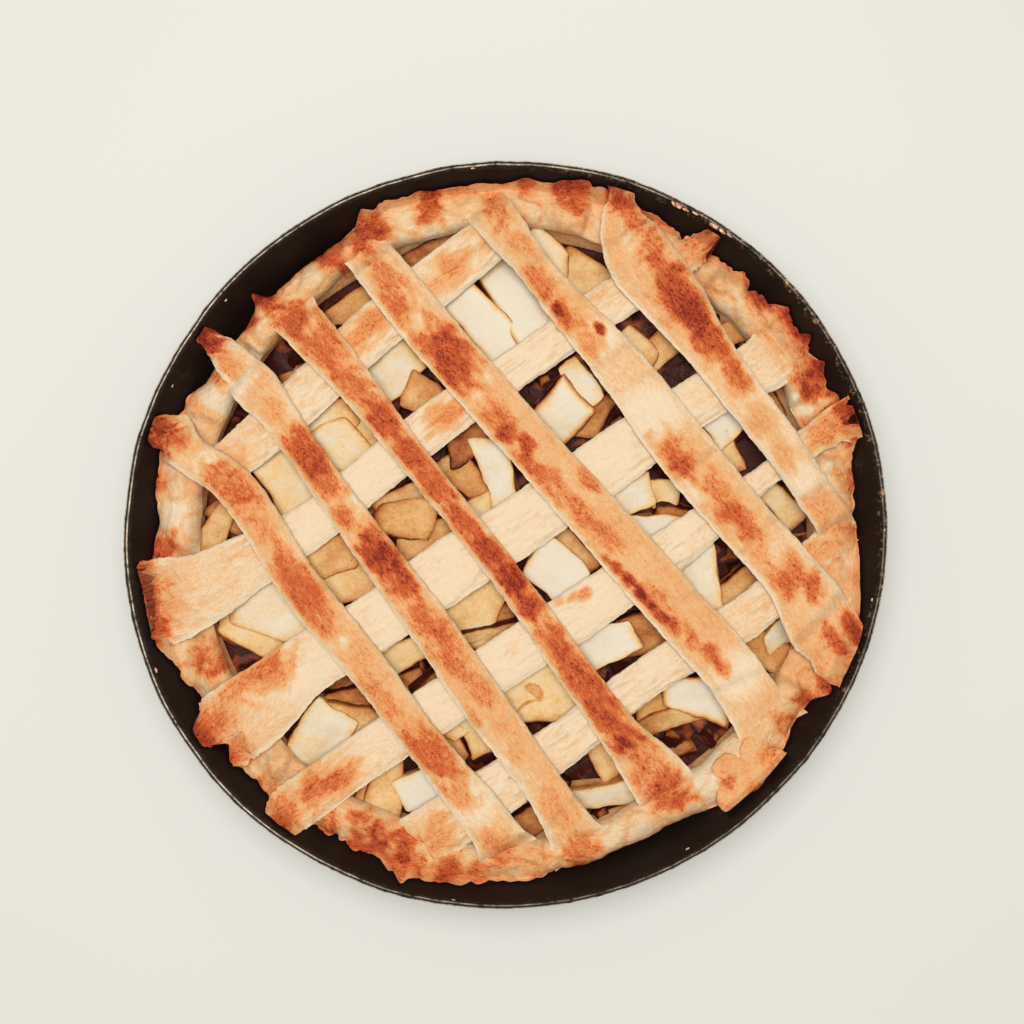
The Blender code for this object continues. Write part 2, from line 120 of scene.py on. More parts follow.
# How ragged the rim's outer edge is every 30 degrees.
RIM_RAGGED = (0.25, 1.3, 0.9, 0.3, 0.5, 0.3, 0.5, 0.8, 0.9, 0.5, 0.25, 0.35)
# Torn tips that stand out of the rim: x, y, reach and width in millimetres.
RIM_TIPS = (
    (79, 112, 2, 3), (88, 101, 1, 4), (113, 75, 2, 4.5), (119, 64, 2, 4), (106, 85, 1.5, 4.5),
    (130, 37, 2.5, 3), (30, 132, 2.5, 1.6), (-54, 122, 3.5, 3.2), (-46, 123, 2, 3), (8, 131, 1.5, 4),
    (-93, 88, 4.5, 2.6), (-88, -104, 2, 3), (-56, -117, 2, 2), (-37, -125, 2.5, 2.5), (124, -60, 3, 4),
    (-121, 53, 2, 4),
)
# Lumps where dough is pinched together: x, y, radius and height in millimetres.
KNOTS = ((-127, 38, 6, 4.2), (124, -38, 7, 1.6), (100, 86, 6, 1.5), (110, 76, 5, 1.5), (86, 98, 6, 1.0))

# Torn ends: how far each reaches past its station, in millimetres at even steps from right to left when
# looking out. An end with none is pressed into the rim.
TORN_ENDS = {
    "over_strip_1": ((-7, -2, 0.5, 1.5, 1, -1.5, -7), None),
    "over_strip_2": ((-3, 1, -1, 2, -2), None),
    "over_strip_5": (None, (-3, 0.5, 1.5, 0.5, -2)),
    "over_strip_6": ((0, -1.5, 0.5, 0, -1), None),
    "under_strip_2": ((1, 2, -2.5, 1.5, 2, 2, 1.5, 1.5, 1, 1.5, 0.5, -2), (-6, -2, 5, -1, -7)),
    "under_strip_3": ((-8, -4, -0.5, 0.5, -1, -5, -2.5, -1, -4), None),
    "under_strip_4": ((-3, 0, -1.5, 1, -2.5), (0, 1.5, -3, 1, -1.5, 3.5)),
}

# Each strip's centre line seen from above, as stations of x, y and width in millimetres.
UNDER_STRIPS = {
    "under_strip_1": (
        (-110, 22, 12), (-95, 34, 17), (-73, 54, 18), (-50, 76, 19), (-22, 98, 19), (3, 117, 16),
    ),
    "under_strip_2": (
        (-131, -25.5, 32), (-124, -24, 32), (-113, -20, 27), (-97, -11, 22), (-72, 4, 17), (-49, 23, 17),
        (-24, 43, 17), (8, 65, 14.5), (38, 86, 16), (62, 101, 15), (77, 110, 11),
    ),
    "under_strip_3": (
        (-110, -79, 29), (-103, -72, 30), (-91, -63, 28), (-75, -49, 23), (-49, -33, 22), (-19, -12, 23),
        (6, 4, 22), (40, 28, 22), (72, 50, 18), (95, 63, 21), (103, 70, 23), (107, 74, 22),
    ),
    "under_strip_4": (
        (-85, -107, 16), (-78, -101, 19), (-57, -86, 18), (-26, -65, 19), (2, -46, 19), (31, -27, 19),
        (67, -2, 16), (95, 20, 9), (110, 32, 11), (120, 39, 13), (129, 44, 17),
    ),
    "under_strip_5": (
        (-36.5, -119.5, 16), (-28, -112, 21), (-2, -95, 20), (23, -77, 17), (54, -53, 15), (90, -31, 16),
        (117, -6, 13), (128, 3, 11),
    ),
}
OVER_STRIPS = {
    "over_strip_1": (
        (-132, 39, 14), (-125, 37, 18), (-116, 29, 14), (-99, 16, 15), (-77, -18, 15.5), (-52, -49, 15),
        (-30, -78, 14), (-8, -105, 17), (2, -121, 19),
    ),
    "over_strip_2": (
        (-114, 76, 5), (-106, 69, 11), (-94, 56, 17), (-85, 45, 14), (-73, 28, 12.5), (-51, -3, 14),
        (-28, -34, 16), (-6, -66, 16.5), (15, -95, 15), (30, -120, 21),
    ),
    "over_strip_3": (
        (-83, 87, 17), (-78, 81, 17), (-70, 72, 17), (-55, 55, 14), (-42, 38, 12), (-18, 8, 11),
        (3, -19, 11.5), (23, -47, 13), (41, -72, 15), (56, -90, 22), (63, -100, 18),
    ),
    "over_strip_4": (
        (-59, 113, 15), (-46, 98, 18), (-29, 77, 19), (-8, 53, 19), (17, 25, 19), (42, -3, 20.5),
        (62, -26, 21), (82, -48, 21), (93, -64, 22), (101, -75, 24),
    ),
    "over_strip_5": (
        (-9, 125, 13), (-2, 115, 16), (8, 103, 13), (21, 87, 14.5), (43, 62, 18.5), (65, 33, 21.5),
        (86, 8, 21), (106, -15, 21), (115, -29, 26), (120, -39, 24.5), (122, -46, 17), (124, -51, 15),
        (125.5, -55, 10),
    ),
    "over_strip_6": (
        (41, 132, 7), (42.5, 126, 9), (43.5, 117, 17), (48, 106, 24), (55, 96, 25), (65, 84, 22),
        (76, 68, 17), (88, 52, 15), (99, 38, 14.5), (109, 24, 14), (118, 10, 14), (125, 0, 12),
    ),
}

# Where the oven browned each piece: x, y and radius in millimetres, and how dark.
BROWNED = {
    "over_strip_1": (
        (-129, 40, 6, 0.72), (-121, 36, 5, 0.56), (-130, 33, 5, 0.66), (-100, 17, 10, 0.58),
        (-90, 2, 6, 0.42), (-78, -18, 11, 0.6), (-70, -28, 8, 0.5), (-55, -47, 6, 0.36),
        (-48, -60, 8, 0.45), (-38, -70, 7, 0.4), (-27, -82, 11, 0.62), (-18, -95, 6, 0.45),
        (0, -118, 8, 0.5),
    ),
    "over_strip_2": (
        (-113, 74, 7, 0.86), (-103, 64, 5, 0.46), (-86, 46, 5, 0.42), (-72, 29, 10, 0.74),
        (-68, 19, 6, 0.58), (-60, 6, 5, 0.56), (-46, -6, 9, 0.84), (-40, -18, 7, 0.7), (-30, -31, 7, 0.6),
        (-21, -44, 8, 0.56), (-10, -58, 7, 0.5), (-12, -68, 3, 0.5), (0, -72, 5, 0.35), (5, -82, 5, 0.34),
        (20, -104, 8, 0.42), (28, -118, 8, 0.55),
    ),
    "over_strip_3": (
        (-90, 88, 6, 0.8), (-80, 80, 8, 0.66), (-68, 70, 9, 0.62), (-55, 55, 8, 0.56), (-45, 43, 9, 0.7),
        (-36, 30, 8, 0.7), (-26, 18, 7, 0.68), (-16, 5, 7, 0.7), (-6, -7, 6, 0.82), (2, -16, 6, 0.95),
        (9, -26, 6, 0.8), (16, -37, 7, 0.6), (23, -48, 8, 0.66), (30, -57, 8, 0.68), (40, -71, 9, 0.74),
        (43, -77, 3, 0.98), (54, -88, 9, 0.56), (61, -97, 9, 0.6),
    ),
    "over_strip_4": (
        (-55, 108, 6, 0.6), (-42, 92, 8, 0.52), (-40, 83, 6, 0.5), (-21, 66, 10, 0.76), (-3, 43, 7, 0.6),
        (0, 38, 4, 0.78), (8, 33, 4, 0.74), (4, 27, 6, 0.52), (13, 22, 6, 0.62), (22, 15, 6, 0.52),
        (30, 20, 5, 0.56), (28, 8, 6, 0.46), (38, 0, 6, 0.5), (37, -9, 2.4, 0.66), (41, -12.5, 2.6, 0.8),
        (45, -16.5, 2.6, 0.92), (50, -22, 2.8, 0.98), (54, -26.5, 2.6, 0.9), (58, -30.5, 2.6, 0.8),
        (62, -34, 3, 0.66), (56, -24, 5, 0.5), (70, -38, 4, 0.62), (75, -43, 4, 0.62), (80, -49, 3, 0.56),
    ),
    "over_strip_5": (
        (-5, 122, 7, 0.5), (4, 108, 6, 0.42), (12, 93, 7, 0.56), (21, 82, 7, 0.62), (19, 84, 2.2, 0.95),
        (35, 77, 1.8, 0.95), (31, 69, 5, 0.46), (64, 29, 7, 0.6), (66, 25, 4, 0.68), (80, 17, 6, 0.52),
        (86, 5, 8, 0.58), (84, 8, 4, 0.66), (92, -3, 6, 0.44), (103, -18, 5, 0.62), (112, -18, 5, 0.66),
        (107, -12, 5, 0.52), (121, -38, 4, 0.68), (128, -33, 4.5, 0.76), (130, -37, 3, 0.82),
        (124, -42, 2.5, 0.66), (128, -52, 4, 0.64), (117, -47, 4, 0.4),
    ),
    "over_strip_6": (
        (41, 129, 6, 0.76), (48, 119, 6, 0.58), (54, 107, 7, 0.52), (60, 96, 8, 0.6), (65, 88, 9, 0.74),
        (70, 81, 8, 0.74), (76, 73, 7, 0.7), (82, 66, 5, 0.52), (85, 58, 5, 0.64), (95, 43, 6, 0.34),
        (104, 30, 5, 0.36), (118, 8, 6, 0.36),
    ),
    "under_strip_1": (
        (-105, 24, 7, 0.4), (-56, 72, 6, 0.45), (-50, 79, 6, 0.52), (-20, 99, 6, 0.45), (-28, 92, 5, 0.36),
        (0, 116, 8, 0.5),
    ),
    "under_strip_2": (
        (-134, -22, 7, 0.56), (-136, -13, 4, 0.5), (-131, -36, 6, 0.56), (-128, -28, 6, 0.4),
        (-22, 44, 6, 0.5), (56, 97, 8, 0.5), (72, 108, 8, 0.5),
    ),
    "under_strip_3": (
        (-112, -73, 8, 0.6), (-94, -50, 10, 0.56), (-86, -52, 6, 0.5), (-104, -66, 8, 0.3),
        (-99, -80, 6, 0.5), (114, 78, 10, 0.5), (110, 70, 6, 0.45),
    ),
    "under_strip_4": (
        (-82, -104, 7, 0.55), (-70, -94, 8, 0.6), (-62, -90, 5, 0.5), (29, -22.5, 2, 0.46),
        (24.5, -23.8, 2, 0.44), (20, -25, 2, 0.4), (120, 40, 8, 0.5), (128, 46, 6, 0.6),
    ),
    "under_strip_5": (
        (-35, -120, 8, 0.5), (-26, -112, 7, 0.42), (118, -8, 8, 0.4), (126, 2, 6, 0.4),
    ),
    "pastry_case": (
        (-65, 105, 8, 0.65), (-50, 113, 8, 0.78), (-28, 123, 8, 0.62), (25, 126, 9, 0.64),
        (8, 130, 5, 0.6), (95, 88, 7, 0.6), (107, 82, 6, 0.62), (112, 75, 6, 0.7), (115, 57, 8, 0.74),
        (125, 42, 8, 0.78), (-128, -5, 7, 0.62), (-130, 20, 5, 0.4), (-112, -46, 8, 0.6),
        (-50, -112, 9, 0.7), (-38, -117, 8, 0.65), (-22, -125, 7, 0.6), (-10, -126, 6, 0.5),
        (-66, -108, 6, 0.5), (68, -103, 8, 0.2), (104, -70, 6, 0.5), (112, -62, 6, 0.6),
        (106, -40, 5, 0.5), (122, -55, 6, 0.6), (10, -122, 9, 0.34), (-97, 80, 6, 0.6), (128, 20, 6, 0.46),
        (-106, 60, 6, 0.42),
    ),
    "pastry_patch": (
        (82, -92, 4, 0.6), (97, -82, 5, 0.5), (92, -95, 5, 0.52), (100, -88, 4, 0.45),
    ),
}

# Where the dough of any piece stayed pale: x, y and radius in millimetres.
PALE_PLACES = (
    (55, 45, 11), (35, 73, 6), (86, -52, 9), (-125, 5, 8), (-100, 60, 7), (-62, -38, 4), (-12, -101, 7),
    (-110, 26, 5), (48, 111, 6), (-74, 30, 4), (70, -101, 6), (108, 20, 8), (-60, 14, 8), (18, -36, 8),
    (72, 18, 6), (-105, 52, 8), (-12, 57, 6), (-32, 77, 6), (122, 22, 5), (74, -92, 9), (-95, -84, 6),
)

# The apple slices: x, y, bearing in degrees, length, width, roll in degrees, depth below the heap and tone.
SLICES = (
    (-110, 2, 62, 20, 8, 10, 1.5, 0.5), (-86, -30, -28, 28, 16, 4, 0.5, 0.2),
    (-96, -38, -33, 24, 10, -12, 2.0, 0.32), (-70, -77, 60, 22, 16, 6, 0.8, 0.2),
    (-58, -72, -20, 22, 12, 10, 2.5, 0.5), (-60, -63, 20, 18, 9, 20, 4.5, 0.78),
    (-46, -96, 80, 22, 11, 8, 1.5, 0.45), (-31, -98, 10, 16, 13, 0, 0.2, 0.05),
    (-52, -101, 70, 14, 9, 10, 1.5, 0.55), (-83, 19, -55, 26, 13, -6, 0.8, 0.28),
    (-65, -8, 20, 18, 12, 8, 1.0, 0.55), (-60, -20, 12, 26, 12, -5, 1.6, 0.45),
    (-38.5, -45.5, 25, 22, 9, 5, 1.2, 0.35), (-37, -56.5, 30, 11, 8, 15, 4.0, 0.8),
    (-29, -56, 40, 14, 5, 30, 1.5, 0.85), (-18, -73, 40, 10, 9, 0, 1.0, 0.4),
    (-10, -76, -70, 13, 9, 5, 0.8, 0.42), (-21, -79, -50, 14, 7, 10, 2.0, 0.55),
    (12, -107, 30, 14, 9, 10, 2.5, 0.72), (-67, 42, 30, 18, 12, 5, 1.5, 0.3),
    (-62, 33, -50, 18, 13, 0, 0.4, 0.24), (-51, 38, -60, 18, 8, 15, 1.6, 0.45),
    (-38, 6, 0, 20, 12, 0, 0.3, 0.54), (-39, 14, 30, 18, 8, 20, 1.5, 0.5),
    (-30, -1, 25, 20, 9, 10, 2.0, 0.55), (-11, -28, 62, 24, 16, 4, 1.2, 0.4),
    (-7, -37, 12, 22, 5, 30, 1.2, 0.5), (-1, -31, 20, 11, 9, 10, 5.0, 0.8),
    (14, -59, 10, 30, 22, 2, 0.6, 0.34), (38, -83, -60, 16, 9, 20, 1.8, 0.45),
    (37, -98, 8, 24, 8, 20, 0.8, 0.2), (-59, 86, 25, 16, 8, 10, 3.0, 0.6),
    (-44, 61, 50, 22, 13, 6, 1.2, 0.2), (-31, 52, -30, 14, 11, 5, 3.0, 0.6),
    (-14, 34, 25, 15, 11, 0, 3.2, 0.82), (-3, 21, -75, 26, 10, 8, 1.0, 0.14),
    (-15, 21, -50, 18, 9, 10, 3.0, 0.62), (-11, 10, 20, 10, 7, 5, 1.5, 0.3),
    (19, -15, -40, 20, 15, 3, 0.2, 0.0), (26, -6, -45, 18, 9, 15, 3.0, 0.55),
    (38, -41, 18, 20, 12, 3, 0.3, 0.06), (52, -37, 10, 20, 14, 8, 3.2, 0.74),
    (72, -61, -10, 22, 13, 5, 0.5, 0.1), (57, -64, 10, 14, 8, 15, 3.4, 0.62),
    (61, -70, 20, 22, 7, 25, 3.8, 0.5), (-28, 107, 25, 24, 8, 10, 4.5, 0.8),
    (-8, 79, -48, 34, 13, 3, 0.3, 0.06), (5, 86, -60, 34, 14, -4, 0.3, 0.06),
    (28, 57, -60, 16, 9, 8, 0.8, 0.2), (21, 46, 50, 18, 15, 5, 0.6, 0.12),
    (33, 46, 70, 16, 10, 10, 3.5, 0.72), (47, 15, 20, 14, 11, 3, 0.5, 0.16),
    (57, 15, -10, 14, 9, 5, 2.0, 0.35), (63, 8, -5, 13, 6, 30, 1.0, 0.7),
    (56, 1, -5, 22, 10, 5, 0.4, 0.04), (73, -17, -70, 22, 13, 5, 0.6, 0.18),
    (87.5, -20, 40, 17, 8, 10, 2.4, 0.55), (98, -43, -30, 16, 11, 5, 3.0, 0.62),
    (103, -38, 40, 10, 7, 15, 1.5, 0.2), (16, 106, -30, 15, 10, 5, 0.5, 0.25),
    (28, 97, -30, 20, 14, -5, 2.2, 0.45), (50, 70, -40, 14, 9, 10, 1.8, 0.35),
    (58, 69, 50, 15, 9, 10, 2.8, 0.5), (81, 41, -45, 12, 11, 0, 0.4, 0.1),
    (82, 31, -60, 14, 10, 10, 1.2, 0.4), (103, 13, -45, 20, 8, 15, 2.4, 0.34),
    (86, 76, 20, 12, 8, 0, 3.0, 0.7), (101, 47, -60, 14, 7, 20, 2.5, 0.66),
)
SLICE_REACH = CASE_INSIDE + 3 * MM
PITCH_LIMIT = math.radians(7)
DENT_SEED = 5
GOLDEN_TURN = 2.39996  # radians from one scattered piece to the next
GOLDEN_SHARE = 0.618
# Slices whose cut edge browned, by their row above, and how much.
BROWN_EDGED = {
    21: 0.6, 23: 0.5, 26: 0.9, 35: 0.5, 42: 0.9, 46: 0.7, 47: 0.6, 49: 1.0, 54: 0.5, 55: 0.3, 59: 0.5,
}
# Slices cooked to a fluffy lump, by row, and how lumpy.
LUMPY = {22: 1.3, 24: 0.8, 34: 0.9}
# The pip's hollow and a crack in one slice: its row above, and the x, y, bearing, half length and half width
# of each.
CORED_SLICE, HOLLOWS = 28, ((11.3, -58.8, -42, 3.6, 1.9), (7.6, -63.8, 30, 2.4, 0.35))

PATCH_CENTRE = Vector((91 * MM, -89 * MM))
PATCH_LIMIT = 132 * MM

# Crumbs of burnt pastry stuck to the tin: angle in degrees, and height and size in millimetres.
CRUMBS = (
    (62.5, 47.9, 2.6), (61, 47.9, 1.8), (59.4, 48.0, 1.5), (56, 48.0, 2.4), (54.6, 47.9, 2.0),
    (53.2, 47.8, 1.4), (201, 46.6, 1.3), (95, 47.6, 0.9), (140, 44.5, 1.0), (156, 43.0, 0.8),
    (262, 47.2, 0.8), (300, 44.5, 1.0), (350, 46.0, 0.8),
)


def srgb(red, green, blue):
    """A colour given as it looks on a screen, 0 to 255, as Blender's linear values."""
    return tuple((value / 255 / 12.92) if value <= 10 else ((value / 255 + 0.055) / 1.055) ** 2.4
                 for value in (red, green, blue))


def colour(name, description, default):
    """A colour to set, given as it looks on a screen."""
    return FloatVectorProperty(name=name, description=description, subtype="COLOR", size=3, min=0, max=1,
                               default=srgb(*default))


def length(name, description, default):
    """A length to set, in metres."""
    return FloatProperty(name=name, description=description, subtype="DISTANCE", unit="LENGTH",
                         default=default)


def factor(name, description, default):
    """A plain number to set."""
    return FloatProperty(name=name, description=description, default=default, min=0)


def whole(name, description, default, least=0):
    """A whole number to set."""
    return IntProperty(name=name, description=description, default=default, min=least)


class LatticePieTin(bpy.types.PropertyGroup):
    sheet: length("Sheet", "Thickness of the tin's sheet", 0.9 * MM)
    corner: length("Corner", "Radius between the tin's base and its wall", 5 * MM)
    hem: length("Hem radius", "Radius of the rolled hem at the rim", 0.95 * MM)
    wobble: length("Wobble", "How far the old rim is bent in and out", 0.45 * MM)
    steps: whole("Steps", "Segments round the tin", 288, 24)
    coat: colour("Coat", "Baked-on black coating", (25, 17, 13))
    # The scuff colour is worn coating and painted reflection of the light on the tin's wall.
    scuff_and_reflection: colour("Scuff", "Worn smears in the coating", (66, 52, 40))
    bare: colour("Bare metal", "Steel showing along the hem", (226, 208, 180))
    rust: colour("Rust", "Tan scuffs just inside the hem", (172, 134, 98))


class LatticePiePastry(bpy.types.PropertyGroup):
    thickness: length("Thickness", "Thickness of a strip", STRIP_THICKNESS)
    fray: length("Fray", "How far a strip's edges wander", 0.42 * MM)
    tear: length("Tear", "How rough the torn ends' edges are", 1.6 * MM)
    sink: length("Sink", "How deep a pressed end goes into the rim", 4.5 * MM)
    relief: length("Relief", "Height of the bumps in the baked surface", 0.42 * MM)
    blister: length("Blister", "Extra height of browned blisters", 0.7 * MM)
    spacing: length("Spacing", "Mesh spacing along a strip", 0.85 * MM)
    around: whole("Around", "Points round a strip's section", 48, 16)
    rim_steps: whole("Rim steps", "Segments round the case's rim", 900, 90)
    rim_swell: length("Rim swell", "How high the rolled rim stands over its edges", 7.0 * MM)
    lip: length("Lip", "How far the rolled rim hangs over the apple", 3.5 * MM)
    pale: colour("Pale", "Dough that hardly browned", (242, 217, 181))
    cream: colour("Cream", "Dough between the browned places", (237, 187, 132))
    gold: colour("Gold", "Evenly baked dough", (235, 161, 98))
    toast: colour("Toast", "Browned dough", (215, 108, 54))
    dark: colour("Dark", "Dark blisters", (180, 67, 37))
    burnt: colour("Burnt", "Burnt spots", (130, 42, 27))
    crumb: colour("Crumb", "Crumbs stuck to the tin", (190, 128, 104))


class LatticePieApple(bpy.types.PropertyGroup):
    core_depth: length("Core depth", "How far the bed between slices lies below the heap", 10 * MM)
    swell: factor("Swell", "Size of the slices against their rows", 1.24)
    crisp: factor("Crispness", "How square a slice's cut edges are", 26)
    cuts: whole("Cuts", "Cuts across each face of a slice", 12, 4)
    sunken: whole("Sunken slices", "Slices half under the syrup", 150)
    bits: whole("Bits", "Small broken bits in the gaps", 300)
    flesh: colour("Flesh", "Pale cooked flesh", (215, 203, 180))
    soft: colour("Soft flesh", "Flesh cooked through", (218, 182, 124))
    tan: colour("Tan", "Flesh soaked in syrup", (197, 135, 73))
    brown: colour("Brown", "Caramelised flesh", (142, 68, 32))
    # The syrup colour is both the syrup's own and painted shade deep in the gaps between the slices.
    syrup_and_shade: colour("Syrup", "Dark syrup in the gaps", (56, 18, 10))


class LatticePieStage(bpy.types.PropertyGroup):
    floor: colour("Floor", "Plain pale floor", (209, 207, 198))
    floor_size: length("Floor size", "Side of the floor", 6.0)
    camera_height: length("Camera height", "From the tin's rim up to the camera", 0.56)
    camera_x: length("Camera x", "The camera's place to the right of the tin's centre", 2.4 * MM)
    camera_y: length("Camera y", "The camera's place beyond the tin's centre", 8.4 * MM)
    field: length("Field", "Width seen at the rim's height", 0.3742)
    sky: factor("Sky", "Strength of the even light from all round", 0.4)
    key: factor("Key", "Power of the large soft light in watts", 17)


def smooth(share):
    """A soft step from 0 to 1 as the share goes from 0 to 1."""
    share = min(1.0, max(0.0, share))
    return share * share * (3 - 2 * share)


def oval(angle):
    """How much wider than the mean circle the tin is in a direction."""
    return 1 + OVALITY * math.cos(2 * (angle - OVAL_TURN))


def wall_radius(height):
    """The mean radius of the tin's inner wall at a height."""
    return TIN_MOUTH_RADIUS - TIN_FLARE * (TIN_MOUTH_HEIGHT - height)


def heap_height(radius):
    """How high the heap of apple stands at a distance from the middle."""
    return HEAP_TOP - HEAP_FALL * (radius / CASE_INSIDE) ** 2


def wall_rest(radius, angle):
    """The height at which a tip that leans on the tin's wall lies, clear of it."""
    return TIN_MOUTH_HEIGHT - (TIN_MOUTH_RADIUS - TIP_GAP - radius / oval(angle)) / TIN_FLARE


def under_rest(x, y):
    """The height of an under strip's lower face: on the apple, up on to the rim and up the tin's wall."""
    radius, angle = math.hypot(x, y), math.atan2(y, x)
    heap = heap_height(radius) + REST_GAP
    climb = smooth((radius - RIM_REACH + RIM_CLIMB) / RIM_CLIMB)
    return max(heap + climb * (RIM_CREST + REST_GAP - heap), wall_rest(radius, angle))


def turned(angle, other):
    """The signed turn from one direction to another."""
    return (angle - other + math.pi) % (2 * math.pi) - math.pi


def catmull_rom(a, b, c, d, t):
    """A place between b and c, at the share t, on a smooth curve through a, b, c and d."""
    bent = (2 * a - 5 * b + 4 * c - d) * t * t
    swung = (3 * b - a - 3 * c + d) * t ** 3
    return 0.5 * (2 * b + (c - a) * t + bent + swung)


def round_stations(stations, angle):
    """A smooth value round the pie through even stations that start at the right."""
    count = len(stations)
    turn = (angle / (2 * math.pi) % 1) * count
    k, share = int(turn), turn % 1
    return catmull_rom(*(stations[(k + i) % count] for i in (-1, 0, 1, 2)), share)


class Route:
    """A strip's centre line and width, as a smooth curve through its stations."""

    samples_per_span = 12

    def __init__(self, stations):
        knots = [Vector(station) * MM for station in stations]
        ends = [2 * knots[0] - knots[1], *knots, 2 * knots[-1] - knots[-2]]
        self.points = []
        for a, b, c, d in zip(ends, ends[1:], ends[2:], ends[3:]):
            for step in range(self.samples_per_span):
                self.points.append(catmull_rom(a, b, c, d, step / self.samples_per_span))
        self.points.append(knots[-1])
        self.reach = [0.0]
        for before, after in zip(self.points, self.points[1:]):
            self.reach.append(self.reach[-1] + (after.xy - before.xy).length)

    @property
    def length(self):
        return self.reach[-1]

    def at(self, distance):
        """Centre, direction and width at a distance from the start."""
        k = next((i for i, far in enumerate(self.reach[1:]) if far >= distance), len(self.reach) - 2)
        share = (distance - self.reach[k]) / max(self.reach[k + 1] - self.reach[k], 1e-9)
        here = self.points[k].lerp(self.points[k + 1], min(1.0, max(0.0, share)))
        near, far = self.points[max(k - 2, 0)].xy, self.points[min(k + 3, len(self.points) - 1)].xy
        return here.xy, (far - near).normalized(), here.z


def over_rest_on(routes):
    """A function of x and y: the height of an over strip's lower face."""
    points = [point for route in routes for point in route.points]
    tree = kdtree.KDTree(len(points))
    for k, point in enumerate(points):
        tree.insert((point.x, point.y, 0), k)
    tree.balance()

    def over_rest(x, y):
        near = tree.find_n((x, y, 0), 24)
        beyond = min(distance - points[k].z / 2 for _, k, distance in near)
        share = smooth((PLATEAU + SAG_RAMP - beyond) / SAG_RAMP)
        hung = SAG_SHARE * (1 - smooth((math.hypot(x, y) - RIM_REACH + RIM_CLIMB) / RIM_CLIMB))
        share = (share + hung + math.hypot(share - hung, 0.2)) / 2
        return under_rest(x, y) + min(share, 1.02) * (STRIP_THICKNESS + CROSSING_GAP)

    return over_rest


def held_in_tin(point, reach=TIP_RADIUS):
    """Pulls a torn tip back from the tin's wall."""
    limit = reach * oval(math.atan2(point.y, point.x))
    return point if point.length <= limit else point * (limit / point.length)


def grain(x, y, z, size):
    """Soft noise from -1 to 1 whose bumps are about a given size across."""
    return noise.noise(Vector((x, y, z)) / size)


def ripple(place, seed, size):
    """Soft noise at a place seen from above, with bumps of a size in millimetres."""
    return grain(place.x, place.y, seed, size * MM)


RIM_SPOTS = tuple(spot for spots in BROWNED.values() for spot in spots if math.hypot(*spot[:2]) > 112)


def browning(spots, place, base, along=Vector((1, 0)), stretch=1.0):
    """How brown the pastry is at a place, from the spots that the oven left, drawn out along a strip."""
    x, y = place.xy
    drawn, aside = place.xy.dot(along) / stretch, place.xy.cross(along)
    wander = 0.4 * grain(drawn, aside, 0.3, 6 * MM) + 0.25 * grain(drawn, aside, 1.3, 2.4 * MM)
    most = base ** 5
    for spot_x, spot_y, radius, strength in spots:
        off = Vector((x - spot_x * MM, y - spot_y * MM))
        if abs(off.x) + abs(off.y) < 3 * radius * MM:
            away = math.hypot(off.dot(along) / stretch, off.cross(along)) / (radius * MM)
            most += (strength * smooth(1.2 - away * 0.74 - wander)) ** 5
    return most ** 0.2


def dryness(place, base):
    """How golden plain dough is at a place: less where it stayed pale."""
    base *= 1 + 0.7 * ripple(place, 5.1, 24)
    for x, y, radius in PALE_PLACES:
        away = math.hypot(place.x - x * MM, place.y - y * MM) / (radius * MM)
        base *= 1 - 0.75 * smooth(1.5 - away)
    return max(base, 0.01)


def finished(bm, name, material, attributes=(), weave=None, angle=60):
    """An object from a bmesh, with a float attribute of its points for each name and list."""
    mesh = bpy.data.meshes.new(name)
    bm.to_mesh(mesh)
    bm.free()
    for label, values in attributes:
        layer = mesh.attributes.new(label, "FLOAT", "POINT")
        layer.data.foreach_set("value", values)
    if weave:
        layer = mesh.attributes.new("weave", "FLOAT_VECTOR", "POINT")
        layer.data.foreach_set("vector", [value for vector in weave for value in vector])
    mesh.materials.append(material)
    mesh.shade_smooth()
    mesh.set_sharp_from_angle(angle=math.radians(angle))
    obj = bpy.data.objects.new(name, mesh)
    bpy.context.scene.collection.objects.link(obj)
    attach(obj, "root")
    return obj


def lathe(section, steps, merge):
    """A mesh turned round the z axis from a section of radius and height."""
    bm = bmesh.new()
    chain = [bm.verts.new((radius, 0, height)) for radius, height in section]
    edges = [bm.edges.new(pair) for pair in zip(chain, chain[1:])]
    bmesh.ops.spin(bm, geom=chain + edges, cent=(0, 0, 0), axis=(0, 0, 1), angle=2 * math.pi, steps=steps,
                   use_merge=True)
    bmesh.ops.remove_doubles(bm, verts=bm.verts, dist=merge)
    bmesh.ops.recalc_face_normals(bm, faces=bm.faces)
    return bm


def add_node(tree, kind, values=None, links=None, **settings):
    """A shader node with its inputs' values, links into them and its own settings."""
    node = tree.nodes.new(kind)
    for key, value in settings.items():
        setattr(node, key, value)
    for key, value in (values or {}).items():
        node.inputs[key].default_value = value
    for key, socket in (links or {}).items():
        tree.links.new(socket, node.inputs[key])
    return node


def arithmetic(tree, operation, first, second=0.0):
    """The output of a Math node whose inputs are sockets or numbers."""
    node = tree.nodes.new("ShaderNodeMath")
    node.operation = operation
    for socket, value in zip(node.inputs, (first, second)):
        if isinstance(value, bpy.types.NodeSocket):
            tree.links.new(value, socket)
        else:
            socket.default_value = value
    return node.outputs[0]


def plus(tree, first, second):
    """The sum of two sockets or numbers."""
    return arithmetic(tree, "ADD", first, second)


def times(tree, first, second):
    """The product of two sockets or numbers."""
    return arithmetic(tree, "MULTIPLY", first, second)


def below(tree, limit, value):
    """How far a value lies below a limit, and 0 above it."""
    return arithmetic(tree, "MAXIMUM", arithmetic(tree, "SUBTRACT", limit, value))


def attribute(tree, name, output="Fac"):
    """An output of one of the mesh's point attributes."""
    return add_node(tree, "ShaderNodeAttribute", attribute_name=name).outputs[output]


def cells(tree, scale):
    """The distance to the middle of the nearest of many small cells."""
    place = add_node(tree, "ShaderNodeTexCoord").outputs["Object"]
    return add_node(tree, "ShaderNodeTexVoronoi", {"Scale": scale}, {"Vector": place}).outputs["Distance"]


